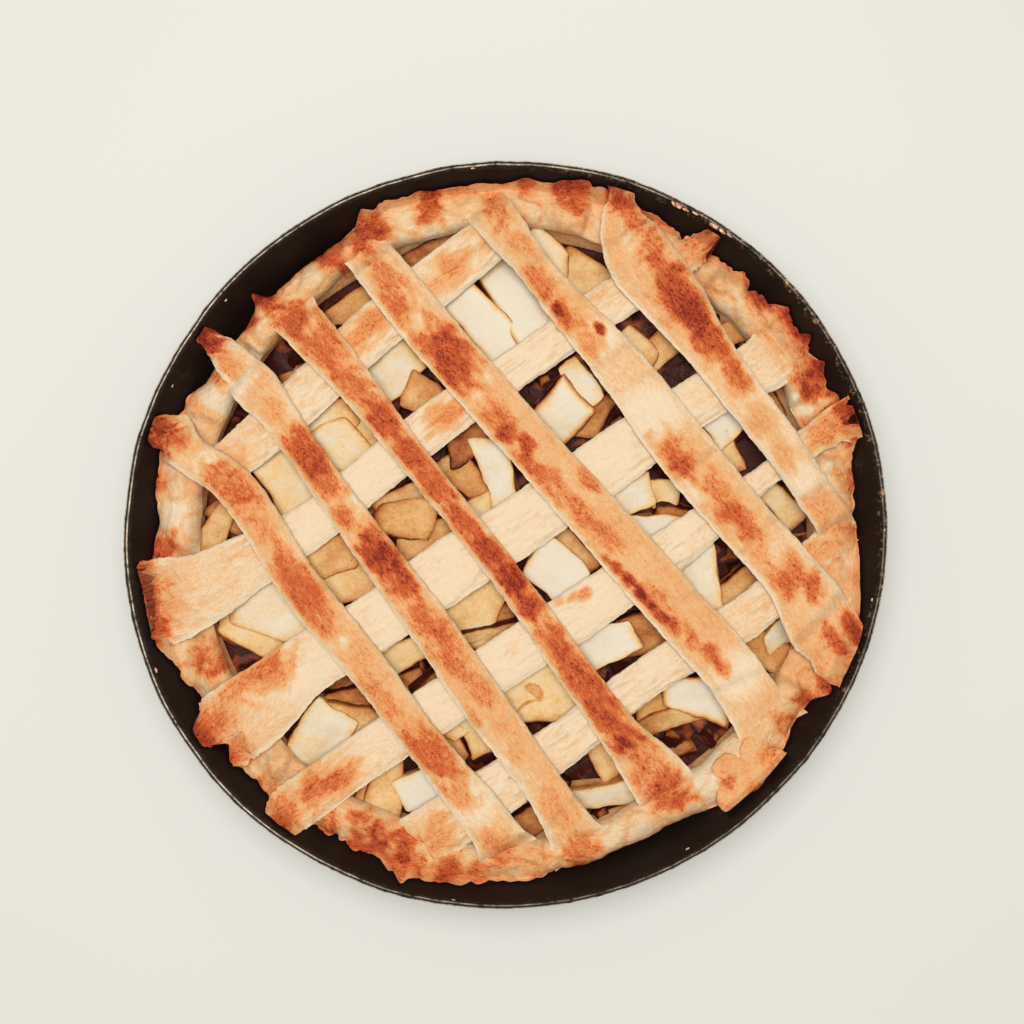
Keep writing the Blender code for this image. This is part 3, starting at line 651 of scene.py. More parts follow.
def speckle(tree, scale, detail=4.0, rough=0.55, place=None):
    """Noise on the object's own coordinates, or on others given, centred on zero."""
    place = place or add_node(tree, "ShaderNodeTexCoord").outputs["Object"]
    values = {"Scale": scale, "Detail": detail, "Roughness": rough}
    cloud = add_node(tree, "ShaderNodeTexNoise", values, {"Vector": place})
    return arithmetic(tree, "SUBTRACT", cloud.outputs[0], 0.5)


def ramp(tree, factor, stops):
    """A colour ramp with a stop for each position and colour."""
    node = add_node(tree, "ShaderNodeValToRGB", links={"Fac": factor})
    points = node.color_ramp.elements
    while len(points) < len(stops):
        points.new(0.5)
    for point, (position, shade) in zip(points, stops):
        point.position = position
        point.color = (*shade, 1.0)
    return node.outputs["Color"]


def mixed(tree, factor, below, above):
    """A colour laid over another where the factor is high."""
    node = add_node(tree, "ShaderNodeMix", data_type="RGBA", clamp_factor=True)
    tree.links.new(factor, node.inputs["Factor"])
    tree.links.new(below, node.inputs[6])
    node.inputs[7].default_value = (*above, 1.0)
    return node.outputs[2]


def bumped(tree, shader, height, distance, strength=1.0):
    """Fine relief for a shader, from a height."""
    values = {"Distance": distance, "Strength": strength}
    bump = add_node(tree, "ShaderNodeBump", values, {"Height": height})
    tree.links.new(bump.outputs["Normal"], shader.inputs["Normal"])


def material_named(name, roughness, shine=0.5):
    """A new material, its node tree and its shader."""
    material = bpy.data.materials.new(name)
    material.use_nodes = True
    shader = material.node_tree.nodes["Principled BSDF"]
    shader.inputs["Roughness"].default_value = roughness
    shader.inputs["Specular IOR Level"].default_value = shine
    return material, material.node_tree, shader


def baked_pastry():
    """Matt pastry that goes from cream through gold to burnt by the browned attribute, with painted
    highlights on its flakes.
    """
    name = "baked pastry"
    if name in bpy.data.materials:
        return bpy.data.materials[name]
    look = bpy.context.scene.lattice_pie_pastry
    material, tree, shader = material_named(name, 0.75, 0.22)
    browned, weave = attribute(tree, "browned"), attribute(tree, "weave", "Vector")
    mottle = 0.0
    for share, scale, detail, rough, place in (
        (0.3, 60, 3, 0.55, None), (0.5, 1, 4, 0.65, weave), (0.55, 3.3, 3, 0.6, weave),
        (0.35, 420, 5, 0.75, None), (0.4, 1700, 3, 0.75, None),
    ):
        mottle = plus(tree, times(tree, speckle(tree, scale, detail, rough, place), share), mottle)
    strength = plus(tree, times(tree, browned, 0.6), 0.3)
    level = plus(tree, browned, times(tree, mottle, strength))
    vein = arithmetic(tree, "ABSOLUTE", speckle(tree, 1.5, 3, 0.6, weave))
    vein = times(tree, below(tree, 0.04, vein), 7.0)
    dots = times(tree, below(tree, 0.24, cells(tree, 340)), times(tree, browned, 2.2))
    marks = plus(tree, times(tree, vein, plus(tree, browned, 0.15)), dots)
    # The flakes raise the bump and are painted paler on its peaks and darker in its dips: painted highlight
    # and shade.
    flake_bumps_and_highlight = times(tree, speckle(tree, 2.2, 4, 0.7, weave), 0.9)
    level = plus(tree, plus(tree, level, marks), times(tree, flake_bumps_and_highlight, -0.25))
    tone = ramp(tree, level, (
        (0.07, look.pale), (0.25, look.cream), (0.44, look.gold), (0.64, look.toast), (0.88, look.dark),
        (1.0, look.burnt),
    ))
    tree.links.new(tone, shader.inputs["Base Color"])
    bumped(tree, shader, plus(tree, speckle(tree, 1000, 5, 0.8), flake_bumps_and_highlight), 1.0 * MM, 0.85)
    return material


def cooked_apple():
    """Moist flesh that goes from cream to caramel by the tone and edge attributes."""
    look = bpy.context.scene.lattice_pie_apple
    material, tree, shader = material_named("cooked apple", 0.45, 0.12)
    patches = times(tree, speckle(tree, 150, 4), 0.5)
    fibres = times(tree, speckle(tree, 900, 4, 0.7), 0.4)
    level = plus(tree, attribute(tree, "tone"), attribute(tree, "edge"))
    level = plus(tree, level, plus(tree, patches, fibres))
    level = plus(tree, level, times(tree, below(tree, 0.1, cells(tree, 260)), 4.0))
    shade = ramp(tree, level, (
        (0.08, look.flesh), (0.32, look.soft), (0.56, look.tan), (0.84, look.brown), (1.0, look.syrup_and_shade),
    ))
    tree.links.new(shade, shader.inputs["Base Color"])
    shader.inputs["Subsurface Weight"].default_value = 0.12
    shader.inputs["Subsurface Radius"].default_value = (1.0, 0.6, 0.3)
    shader.inputs["Subsurface Scale"].default_value = 1.5 * MM
    bumped(tree, shader, speckle(tree, 520, 5, 0.7), 0.6 * MM, 0.8)
    return material


def syrup_and_shade_bed():
    """Glossy dark syrup, darkened as painted shade deep in the gaps, with paler lumps of apple just under it.
    """
    look = bpy.context.scene.lattice_pie_apple
    # The bed is dark syrup and painted shade deep in the gaps.
    material, tree, shader = material_named("syrup bed", 0.35, 0.06)
    level = plus(tree, times(tree, speckle(tree, 120, 4), 1.8), 0.42)
    shade = ramp(tree, level, ((0.2, look.syrup_and_shade), (0.5, look.syrup_and_shade), (0.78, look.brown), (1.0, look.tan)))
    tree.links.new(shade, shader.inputs["Base Color"])
    bumped(tree, shader, speckle(tree, 400, 4), 0.5 * MM)
    return material


def black_tin():
    """Worn black coating with smears, partly painted reflection, and bare steel with dark dashes along the
    hem.
    """
    look = bpy.context.scene.lattice_pie_tin
    material, tree, shader = material_named("black tin", 0.5, 0.12)
    # Smears of worn coating that also paint a faint reflection of the light on the wall.
    smears_and_reflection = plus(tree, times(tree, speckle(tree, 26, 5, 0.7), 2.4), 0.1)
    grit = times(tree, speckle(tree, 420, 4), 0.9)
    coat = ramp(tree, plus(tree, smears_and_reflection, grit), ((0.45, look.coat), (1.0, look.scuff_and_reflection)))
    flecks = plus(tree, times(tree, speckle(tree, 430, 5, 0.85), 9.0), -0.5)
    coat = mixed(tree, times(tree, attribute(tree, "rubbed"), flecks), coat, look.rust)
    dashes = plus(tree, times(tree, speckle(tree, 240, 5, 0.75), 4.5), 0.6)
    coat = mixed(tree, times(tree, attribute(tree, "hem"), dashes), coat, look.bare)
    tree.links.new(coat, shader.inputs["Base Color"])
    bumped(tree, shader, plus(tree, grit, smears_and_reflection), 0.15 * MM, 0.5)
    return material


def burnt_crumb():
    """Rough dark crumbs with pale grains."""
    look = bpy.context.scene.lattice_pie_pastry
    material, tree, shader = material_named("burnt crumb", 0.8)
    level = plus(tree, times(tree, speckle(tree, 900), 2.0), 0.5)
    shade = ramp(tree, level, ((0.2, look.dark), (0.5, look.crumb), (0.8, look.pale)))
    tree.links.new(shade, shader.inputs["Base Color"])
    return material


def strip_section(k, around, half, thick):
    """The k-th point round a cut strip: flat below, upright cut sides, soft shoulders, slightly domed top."""
    below, side = around // 6, around // 12
    above = around - below - 2 * side
    if k < above:
        across = 1 - 2 * (k + 0.5) / above
        dome = 0.94 + 0.06 * (1 - across * across)
        return half * across * 0.985, thick * (dome - 0.40 * abs(across) ** 7)
    k -= above
    if k < side:
        return -half, thick * (0.58 - 0.5 * k / side)
    k -= side
    if k < below:
        return half * (-0.94 + 1.88 * (k + 0.5) / below), 0.0
    return half, thick * (0.08 + 0.5 * (k - below) / side)


def knot(place):
    """How much a pinched lump raises the dough, creased towards its middle."""
    rise = 0.0
    for x, y, radius, height in KNOTS:
        off = place - Vector((x * MM, y * MM))
        if off.length < 2 * radius * MM:
            waves = 3.5 * math.atan2(off.y, off.x) + 2 * off.length / (radius * MM)
            creases = 0.45 + 0.9 * abs(math.sin(waves))
            rise += height * MM * math.exp(-(off.length / (radius * MM)) ** 2) * creases
    return rise


def end_reach(profile, side):
    """How far a torn end reaches past its station at a place across it."""
    step = (side + 1) / 2 * (len(profile) - 1)
    k = min(int(step), len(profile) - 2)
    return profile[k] + (profile[k + 1] - profile[k]) * (step - k)


def tube(around, rings):
    """A closed tube along z, from -0.5 to 0.5, with even rings."""
    bm = bmesh.new()
    bmesh.ops.create_cone(bm, cap_ends=True, segments=around, radius1=1, radius2=1, depth=1)
    along = [edge for edge in bm.edges if abs(edge.verts[0].co.z - edge.verts[1].co.z) > 0.5]
    bmesh.ops.subdivide_edges(bm, edges=along, cuts=rings - 1)
    return bm


class Strip:
    """A baked strip that follows its route and what it lies on, with frayed sides and torn or pressed ends.

    Its methods take "here", a station from station(), for what holds right across the strip.
    """

    def __init__(self, name, stations, rest, base):
        self.name, self.route, self.rest, self.base = name, Route(stations), rest, base
        self.look = bpy.context.scene.lattice_pie_pastry
        self.seed = sum(map(ord, name))
        self.under = name.startswith("under")
        self.profiles = TORN_ENDS.get(name, (None, None))

    def station(self, distance):
        """What holds right across the strip at a distance from its start."""
        centre, direction, width = self.route.at(distance)
        late = distance * 2 > self.route.length
        ends = self.route.length - distance if late else distance
        profile = self.profiles[late]
        sunk = 0.0
        if profile is None:
            width *= 1 + 0.22 * smooth(1 - ends / (13 * MM))
            sunk = self.look.sink * smooth(1 - ends / (8 * MM))
        return SimpleNamespace(
            distance=distance, centre=centre, direction=direction, left=Vector((-direction.y, direction.x)),
            width=width, late=late, ends=ends, profile=profile, sunk=sunk, loose=smooth(1 - ends / (15 * MM)),
            thick=self.look.thickness * (0.22 + 0.78 * smooth(ends / (16 * MM))),
        )

    def place(self, here, across, side):
        """Where a point lies seen from above: frayed at the sides and torn at a loose end."""
        seed, tear, along = self.seed, self.look.tear, here.distance
        own = seed + (5 if side > 0 else -5)
        ragged = 1 + 2 * here.loose * (here.profile is not None)
        fray = grain(along, 0, own, 14 * MM) + 0.8 * grain(along, 3, own, 4 * MM)
        fray += 0.6 * grain(along, 6, own, 1.5 * MM) * ragged
        place = here.centre + here.left * (across + side * abs(side) * self.look.fray * fray)
        if here.profile and here.loose > 0:
            outward, hand = (here.direction, side) if here.late else (-here.direction, -side)
            reach = end_reach(here.profile, hand) * MM
            reach += tear * grain(hand * 8 * MM, here.late, seed, 2.6 * MM)
            reach += 0.4 * tear * grain(hand * 8 * MM, here.late, seed + 3, 1 * MM)
            place += outward * reach * here.loose
            place += here.left * side * here.loose * tear * grain(along, side, seed + here.late, 4 * MM)
        return held_in_tin(place)

    def tone(self, here, place, side):
        """How brown a point is: paler at the cut sides, the south one with painted highlight, and browner at
        torn ends.
        """
        # The cut sides are paler dough; the south side is paler still, a painted highlight where its side
        # face catches the light.
        lit_south_side = 1 if here.left.y * side < 0 else 0.45
        beside = smooth((abs(side) * here.width / 2 - here.width / 2 + 2.5 * MM) / (2.1 * MM))
        edge = beside * lit_south_side * (1 - here.loose)
        dry = self.base + (0.14 * smooth((place.length - 60 * MM) / (55 * MM)) if self.under else 0)
        dry = dryness(place, dry + (0.2 - dry) * here.loose)
        tone = browning(BROWNED[self.name], place, dry, here.direction, 1.6) * (1 - 0.55 * edge)
        return tone + 0.2 * (here.profile is not None) * smooth(1 - here.ends / (6 * MM))

    def pleated(self, here, place, across, tone):
        """The tone with painted shade in the troughs of the fine pleats along the strip, and how high they
        stand.
        """
        pleats = noise.noise(Vector((here.distance / (8 * MM), across / (1.8 * MM), self.seed)))
        if not self.under:
            return tone, pleats
        flake = noise.noise(Vector((here.distance / (9 * MM), across / (4 * MM), self.seed + 20)))
        flake = smooth((flake + 0.03) / 0.09)
        plain = (1 - smooth(tone * 2 - 0.2)) * (1 - here.loose) * smooth(0.6 + 2 * ripple(place, 8, 20))
        # Painted light and shade: under strips are paler on the ridges of the pleats and flakes and browner
        # in their troughs.
        tone -= (0.13 * pleats + 0.05 * (flake - 0.5)) * plain
        return tone, (2.8 * pleats + 1.0 * flake) * plain

    def mesh(self):
        """The strip's mesh, with each point's tone and its place in the weave of the dough."""
        look, seed = self.look, self.seed
        rings = round(self.route.length / look.spacing)
        bm = tube(look.around, rings)
        stations = {}
        tones, weave = [], []
        for vert in bm.verts:
            ring = round((vert.co.z + 0.5) * rings)
            if ring not in stations:
                stations[ring] = self.station(ring / rings * self.route.length)
            here = stations[ring]
            corner = round(math.atan2(vert.co.y, vert.co.x) / (2 * math.pi) * look.around) % look.around
            across, high = strip_section(corner, look.around, here.width / 2, here.thick)
            side = across / (here.width / 2)
            place = self.place(here, across, side)
            top = smooth(high / here.thick * 1.6 - 0.5)
            tone, pleats = self.pleated(here, place, across, self.tone(here, place, side))
            bumps = 0.9 * ripple(place, seed, 8) + 0.6 * ripple(place, seed, 3.2)
            bumps += 0.4 * ripple(place, seed, 1.5) + pleats
            blister = max(0.0, ripple(place, seed + 9, 4)) * smooth((tone - 0.4) / 0.3)
            raised = top * (look.relief * bumps + look.blister * blister) * here.thick / look.thickness
            raised += knot(place) * top
            curl = here.loose * 1.6 * MM * ripple(place, seed + 2, 5)
            height = self.rest(place.x, place.y) + high + raised + curl * top - here.sunk
            lowest = wall_rest(place.length, math.atan2(place.y, place.x)) + 0.1 * high
            vert.co = (place.x, place.y, min(max(height, lowest), TIP_CEILING))
            tones.append(tone + 0.10 * blister * top - 0.10 * (1 - top))
            weave.append((here.distance / (5.5 * MM), across / (2.4 * MM), seed))
        return bm, tones, weave


def make_strip(name, stations, rest, base):
    """Adds one strip in place of its node."""
    bm, tones, weave = Strip(name, stations, rest, base).mesh()
    strip = finished(bm, name + "_baked", baked_pastry(), [("browned", tones)], weave)
    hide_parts(name)


def case_section():
    """The case's section as radii and heights, from the floor's middle out over the rim and back under."""
    across_rim = 26
    shares = [(-2, 8), (-0.4, 9)] + [(0, height) for height in (12, 18, 24, 28, 30, 31.5)]
    shares += [(k / across_rim, 33) for k in range(1, across_rim + 1)] + [(1, 31.8), (0.97, 31)]
    section = [(0.0, 7.5 * MM)]
    section += [(SECTION_INSIDE + share * SECTION_WIDTH, height * MM) for share, height in shares]
    for height, inwards in ((26, 0), (10, 0), (3, 2)):
        section.append((wall_radius(height * MM) - inwards * MM - 1.2 * MM, height * MM))
    return section + [(100 * MM, 1.6 * MM), (0, 1.6 * MM)]


def torn_end_places():
    """The direction of each torn end and how wide it is, as turns in radians."""
    places = []
    for name, profiles in TORN_ENDS.items():
        stations = {**UNDER_STRIPS, **OVER_STRIPS}[name]
        for profile, (x, y, width) in zip(profiles, (stations[0], stations[-1])):
            if profile:
                places.append((math.atan2(y, x), (width / 2 + 3) / 130))
    return places


def rim_edges(angle, around):
    """The rim's inner and outer radius in a direction, how high its teeth stand and how ragged it is."""
    outer = round_stations(RIM_OUTER, angle) * MM
    ragged = round_stations(RIM_RAGGED, angle) * MM
    lobes = 0.6 * abs(grain(around.x, around.y, 2, 0.075)) ** 0.7
    lobes += 0.3 * abs(grain(around.x, around.y, 5, 0.035)) ** 0.7
    outer += ragged * (5.2 * lobes - 1.8 + 0.2 * grain(around.x, around.y, 7, 0.012))
    outer += 0.9 * MM * grain(around.x, around.y, 9, 0.11)
    for tip_x, tip_y, size, spread in RIM_TIPS:
        off = turned(angle, math.atan2(tip_y, tip_x))
        outer += size * MM * math.exp(-(off * 130 / spread) ** 2)
    within = round_stations(RIM_INNER, angle) * MM + 1.6 * MM * grain(around.x, around.y, 8, 0.09)
    return within, outer, lobes, ragged


def rim_point(share, level, angle, torn_ends, look):
    """Where a point of the rim lies and how brown it is, from its share across the rim and its level."""
    around = Vector((math.cos(angle), math.sin(angle)))
    within, outer, lobes, ragged = rim_edges(angle, around)
    bulk = min(outer, RIM_BULK)
    reach = within + share * (bulk - within)
    if share > TEETH_START:
        reach += (outer - bulk) * smooth((share - TEETH_START) / TEETH_SPAN)
    reach = min(reach, TIP_RADIUS * oval(angle))
    if share < 0.001:
        reach += look.lip * smooth((31.5 * MM - level) / (2.5 * MM))
    place = around * reach

    on_top = smooth((level - 31.6 * MM) / (1 * MM))
    roll = math.sin(math.pi * min(1, max(0, share)) ** 0.9) ** 0.45
    folds = grain(place.x, place.y, share * 5 * MM, 11 * MM)
    creases = max(0.0, 1 - abs(ripple(place, 4, 9)) * 5)
    lumps = 0.8 * ripple(place, 3, 4.5) + 0.35 * ripple(place, 6, 1.9)
    pressed = max(smooth((1.3 - abs(turned(angle, end)) / spread) / 0.5) for end, spread in torn_ends)
    crest = RIM_FOOT + roll * (look.rim_swell - 4.6 * MM * pressed)
    crest += (1.7 * folds + 1.2 * lumps) * MM * (0.3 + 0.7 * roll)
    crest -= creases * 1.1 * MM * roll
    crest += 5.0 * MM * (lobes - 0.25) * ragged / MM * smooth((share - 0.45) / 0.4) + knot(place) * roll
    height = level
    if share > 0.02:
        leaning = wall_rest(reach, angle)
        height = max(level, leaning) * (1 - on_top)
        height += (crest + max(0.0, leaning + TIP_GAP - crest)) * on_top

    tone = browning(RIM_SPOTS, place, dryness(place, 0.2 + 0.1 * folds))
    tone += 0.4 * max(0.0, lobes - 0.2) * ragged / MM * smooth((share - 0.6) / 0.3)
    # Painted shade: the rim is browner in its creases.
    tone += 0.14 * creases * on_top
    blister = max(0.0, ripple(place, 9, 4)) * smooth((tone - 0.45) / 0.3)
    height += blister * look.blister * on_top
    return (place.x, place.y, height), tone + 0.12 * smooth((share - 0.8) / 0.2)


def make_case_mesh(look):
    """The pastry case, whose rim rolls, folds and frays round the pie."""
    bm = lathe(case_section(), look.rim_steps, 0.01 * MM)
    torn_ends = torn_end_places()
    tones, weave = [], []
    for vert in bm.verts:
        radius, angle = vert.co.xy.length, math.atan2(vert.co.y, vert.co.x)
        tone = 0.36
        if vert.co.z < RIM_BASE:
            vert.co.xy *= oval(angle)
        else:
            share = (radius - SECTION_INSIDE) / SECTION_WIDTH
            vert.co, tone = rim_point(share, vert.co.z, angle, torn_ends, look)
        tones.append(tone)
        weave.append((math.cos(angle) * 23, math.sin(angle) * 23, vert.co.xy.length / (2.4 * MM)))
    return bm, tones, weave


def rounded_box(cuts, crisp):
    """A box of size two with an even grid on each face and rounded edges."""
    bm = bmesh.new()
    bmesh.ops.create_cube(bm, size=2)
    bmesh.ops.subdivide_edges(bm, edges=bm.edges, cuts=cuts, use_grid_fill=True)
    for vert in bm.verts:
        vert.co /= sum(abs(side) ** crisp for side in vert.co) ** (1 / crisp)
    return bm


def slice_shape(bm, row, number, look):
    """Shapes a box as one cut piece of apple in its place: a plank, a wedge or a chunk, as chance has it."""
    x, y, bearing, length, width, roll, depth, tone = row
    draw = random.Random(number)
    soft, taper = draw.uniform(0.0, 0.22), draw.uniform(-0.34, 0.34)
    bow, skew, dish = draw.uniform(-0.04, 0.16), draw.uniform(-0.45, 0.45), draw.uniform(-0.2, 0.5)
    lean = draw.uniform(-0.14, 0.14)
    pitch = draw.uniform(-1, 1) * PITCH_LIMIT
    turn = Matrix.Rotation(math.radians(bearing), 4, "Z") @ Matrix.Rotation(pitch, 4, "Y")
    turn = turn @ Matrix.Rotation(math.radians(roll), 4, "X")
    sway = Vector((number * 3.1, 0, 0))
    tones, edges = [], []
    for vert in bm.verts:
        u, v, w = vert.co
        across = u * math.sqrt(1 - soft * v * v / 2) + skew * v * 0.5
        down = v * math.sqrt(1 - soft * u * u / 2) * (1 - taper * u) + bow * (1 - u * u)
        rim = max(abs(u), abs(v)) ** 7
        # The sides and underside of each slice are darker than its top face.
        tones.append(tone * 0.92 - 0.03 + lean * u + 0.26 * smooth(0.9 - w))
        edges.append(BROWN_EDGED.get(number, 0.36) * rim * smooth(w + 0.6))
        place = Vector((across * length / 2, down * width / 2, w * min(5, width / 2.5)))
        if w > 0:
            place.z -= dish * (1 - max(abs(u), abs(v)) ** 3) * w
        place += 1.1 * noise.noise_vector(place / 9 + sway) + 0.36 * noise.noise_vector(place / 2.4 + sway)
        place += LUMPY.get(number, 0) * noise.noise_vector(place / 6 + sway)
        vert.co = turn @ (place * MM)
    highest = max(vert.co.z for vert in bm.verts)
    lift = heap_height(math.hypot(x, y) * MM) - depth * MM - highest
    for vert in bm.verts:
        vert.co += Vector((x * MM, y * MM, lift))
        vert.co.z = min(vert.co.z, heap_height(vert.co.xy.length) + (0.2 - 0.5 * depth) * MM)
        if vert.co.xy.length > SLICE_REACH:
            vert.co.xy *= SLICE_REACH / vert.co.xy.length
    if number == CORED_SLICE:
        hollow_out(bm, tones)
    return tones, edges


def hollow_out(bm, tones):
    """Sinks the pip's hollow and the crack into a slice, browned round and inside them."""
    for k, vert in enumerate(bm.verts):
        for x, y, bearing, half, wide in HOLLOWS:
            off = Matrix.Rotation(-math.radians(bearing), 2) @ (vert.co.xy - Vector((x * MM, y * MM)))
            off = Vector((off.x / MM, off.y / MM + 0.06 * (off.x / MM) ** 2))
            away = (math.hypot(off.x / half, off.y / wide) - 1) * wide
            vert.co.z -= 0.6 * MM * smooth(0.5 - away / 0.6)
            tones[k] += 0.26 * math.exp(-(away / 0.4) ** 2) + 0.2 * smooth(-away / 0.5)


def scattered(count, limit, wander, draw):
    """Places in millimetres, spread evenly over the bed and each a little off by chance."""
    for k in range(count):
        reach, turn = limit * math.sqrt((k + 0.5) / count), k * GOLDEN_TURN + draw.uniform(-wander, wander)
        yield reach * math.cos(turn), reach * math.sin(turn)


def sunken_rows(count):
    """Rows for slices half under the syrup, spread evenly over the bed."""
    draw = random.Random(7)
    rows = []
    for x, y in scattered(count, 108, 0.2, draw):
        # Their dark tones are caramelised flesh and painted shade deep in the gaps.
        rows.append((x, y, draw.uniform(0, 180), draw.uniform(15, 25), draw.uniform(7, 13),
                     draw.uniform(-38, 38), draw.uniform(5, 10), draw.uniform(0.68, 1.15)))
    return rows


def bit_rows(count):
    """Rows for small broken bits of apple that lie in the gaps."""
    draw = random.Random(19)
    rows = []
    for x, y in scattered(count, 112, 0.3, draw):
        # Their dark tones are caramelised flesh and painted shade deep in the gaps.
        row = (x, y, draw.uniform(0, 180), draw.uniform(3, 9), draw.uniform(2.5, 5),
               draw.uniform(-60, 60), draw.uniform(4, 8), draw.uniform(0.72, 1.15))
        if not any(covers(slice_row, x, y) for slice_row in SLICES):
            rows.append(row)
    return rows


def covers(row, x, y):
    """Whether a shown slice lies over a place."""
    off = Matrix.Rotation(-math.radians(row[2]), 2) @ Vector((x - row[0], y - row[1]))
    return math.hypot(off.x / (row[3] * 0.62 + 2), off.y / (row[4] * 0.62 + 2)) < 1.05


def heap_of(rows, cuts, first, look):
    """Many slices as one mesh, each dented by vector noise from a fixed seed."""
    noise.seed_set(DENT_SEED)
    heap = bmesh.new()
    tones, edges = [], []
    for number, row in enumerate(rows, first):
        crisp = look.crisp * (0.35 + 0.65 * (number * GOLDEN_SHARE % 1))
        bm = rounded_box(cuts * 6 if number == CORED_SLICE else cuts, crisp)
        more_tones, more_edges = slice_shape(bm, row, number, look)
        tones += more_tones
        edges += more_edges
        piece = bpy.data.meshes.new("slice")
        bm.to_mesh(piece)
        bm.free()
        heap.from_mesh(piece)
        bpy.data.meshes.remove(piece)
    return heap, tones, edges


def shown_rows(swell):
    """The slices that show, grown by a factor across and along."""
    return [(x, y, bearing, length * swell, width * swell, roll, depth, tone)
            for x, y, bearing, length, width, roll, depth, tone in SLICES]


def make_core_mesh(look):
    """The bed of syrup and sunken apple between the slices, closed below."""
    side, rings = CASE_INSIDE + 7 * MM, 60
    section = [(0, 9 * MM), (side - 8 * MM, 9 * MM)]
    section += [(side * k / rings, 25 * MM) for k in range(rings, -1, -1)]
    bm = lathe(section, 240, 0.01 * MM)
    for vert in bm.verts:
        if vert.co.z > 20 * MM:
            lumps = 2.4 * ripple(vert.co, 1.3, 17) + 1.3 * ripple(vert.co, 4.3, 6)
            lumps += 0.4 * ripple(vert.co, 7.3, 2.5)
            vert.co.z = heap_height(vert.co.xy.length) - look.core_depth + lumps * MM
    return bm


def make_patch_mesh():
    """A lobed lump of pastry pressed over the rim."""
    bm = bmesh.new()
    bmesh.ops.create_uvsphere(bm, u_segments=120, v_segments=60, radius=1)
    tones, weave = [], []
    for vert in bm.verts:
        turn, size, up = math.atan2(vert.co.y, vert.co.x), vert.co.xy.length, vert.co.z
        east, north = math.cos(turn), math.sin(turn)
        petal = abs(math.sin(2.5 * (turn + math.radians(20))))
        lobes = 0.84 + 0.3 * petal + 0.12 * noise.noise(Vector((east * 2, north * 2, 4)))
        longer = 1 + 0.16 * math.cos(2 * (turn - math.radians(35)))
        ragged = 1 + 0.05 * noise.noise(Vector((east * 9, north * 9, up)))
        reach = size ** 0.7 * 12.8 * MM * (1 + (lobes - 1) * size) * longer * ragged
        place = held_in_tin(PATCH_CENTRE + Vector((east, north)) * reach, PATCH_LIMIT)
        bumps = 1.0 * ripple(place, 11, 6) + 0.5 * ripple(place, 12, 2.6)
        thick, raised = 1.6 * MM * (1 + up), 0
        if up > 0:
            thick = (2.2 + 2.1 * up ** 0.6 - 1.5 * (1 - petal) ** 3 * size) * MM
            raised = bumps * MM * 0.8
        vert.co = (place.x, place.y, under_rest(place.x, place.y) + thick + raised)
        tones.append(browning(BROWNED["pastry_patch"], place, 0.33 + 0.08 * bumps))
        weave.append((place.x / (4 * MM), place.y / (3 * MM), 60))
    return bm, tones, weave


def tin_section(look, hem_middle):
    """The tin's section as radii and heights, up the inside, round the hem and down the outside."""
    base = wall_radius(0) + look.sheet
    section = [(0, look.sheet), (60 * MM, look.sheet), (wall_radius(look.sheet) - look.corner, look.sheet)]
    for k in range(1, 6):
        turn = math.radians(90) * k / 6
        section.append((wall_radius(look.corner) - look.corner * 0.9 * (1 - math.sin(turn)),
                        look.sheet + (look.corner - look.sheet) * (1 - math.cos(turn))))
    for z in (7, 10, 15, 20, 25, 29, 32, 35, 38, 40.5, 42.5, 44.3, 45.6):
        section.append((wall_radius(z * MM), z * MM))
    for k in range(1, 34):
        turn = math.pi * (1 - k / 24) - math.atan(TIN_FLARE)
        section.append((hem_middle.x + look.hem * math.cos(turn), hem_middle.y + look.hem * math.sin(turn)))
    section += [(wall_radius(z * MM) + look.sheet, z * MM) for z in (45, 42, 38, 30, 22, 14, 8, 5)]
    section += [(base - inwards * MM, z * MM) for inwards, z in ((0.2, 2.6), (1, 1.2), (2.6, 0.3))]
    return section + [(base - look.corner, 0), (60 * MM, 0), (0, 0)]


def make_tin_mesh(look):
    """The flared tin of thin sheet, with a rolled hem that age has bent."""
    hem_middle = Vector((wall_radius(TIN_MOUTH_HEIGHT) + look.hem, TIN_MOUTH_HEIGHT - look.hem))
    bm = lathe(tin_section(look, hem_middle), look.steps, 0.001 * MM)
    hems, rubs = [], []
    for vert in bm.verts:
        radius, angle = vert.co.xy.length, math.atan2(vert.co.y, vert.co.x)
        out, up = (radius - hem_middle.x) / look.hem, (vert.co.z - hem_middle.y) / look.hem
        left = 0.35 + 0.65 * smooth(0.5 - math.cos(angle + math.radians(20)))
        lines = math.exp(-((out - 0.72) / 0.2) ** 2) + left * math.exp(-((out + 0.5) / 0.2) ** 2)
        hems.append(lines if up > -0.3 and out > -1.0 else 0.0)
        right = smooth(math.cos(angle - math.radians(28)) * 1.6 - 0.5)
        rubs.append((0.1 + 1.3 * right) * smooth((vert.co.z - TIN_MOUTH_HEIGHT + 4 * MM) / (4 * MM)))
        if radius < 1 * MM:
            continue
        high = smooth(vert.co.z / TIN_MOUTH_HEIGHT)
        x, y = math.cos(angle), math.sin(angle)
        bend = noise.noise(Vector((x * 5, y * 5, 1))) + 0.4 * noise.noise(Vector((x * 17, y * 17, 2)))
        vert.co.xy *= (radius * oval(angle) + look.wobble * high * bend) / radius
        vert.co.z += high * 0.3 * MM * (noise.noise(Vector((x * 6, y * 6, 7))) - 0.6)
    return bm, hems, rubs


def make_crumb_mesh():
    """Small burnt crumbs, flattened against the tin's wall."""
    bm = bmesh.new()
    for number, (degrees, height, size) in enumerate(CRUMBS):
        angle = math.radians(degrees)
        radius = (wall_radius(height * MM) - 0.2 * size * MM) * oval(angle)
        place = Vector((radius * math.cos(angle), radius * math.sin(angle), height * MM))
        ball = bmesh.ops.create_icosphere(bm, subdivisions=2, radius=size / 2 * MM)
        for vert in ball["verts"]:
            vert.co *= 1 + 0.9 * noise.noise(vert.co * 900 + Vector((number, 0, 0)))
            flat = Vector((vert.co.x * 0.6, vert.co.y * 1.5, vert.co.z * 0.4))
            vert.co = Matrix.Rotation(angle, 3, "Z") @ flat
            vert.co += place
    return bm


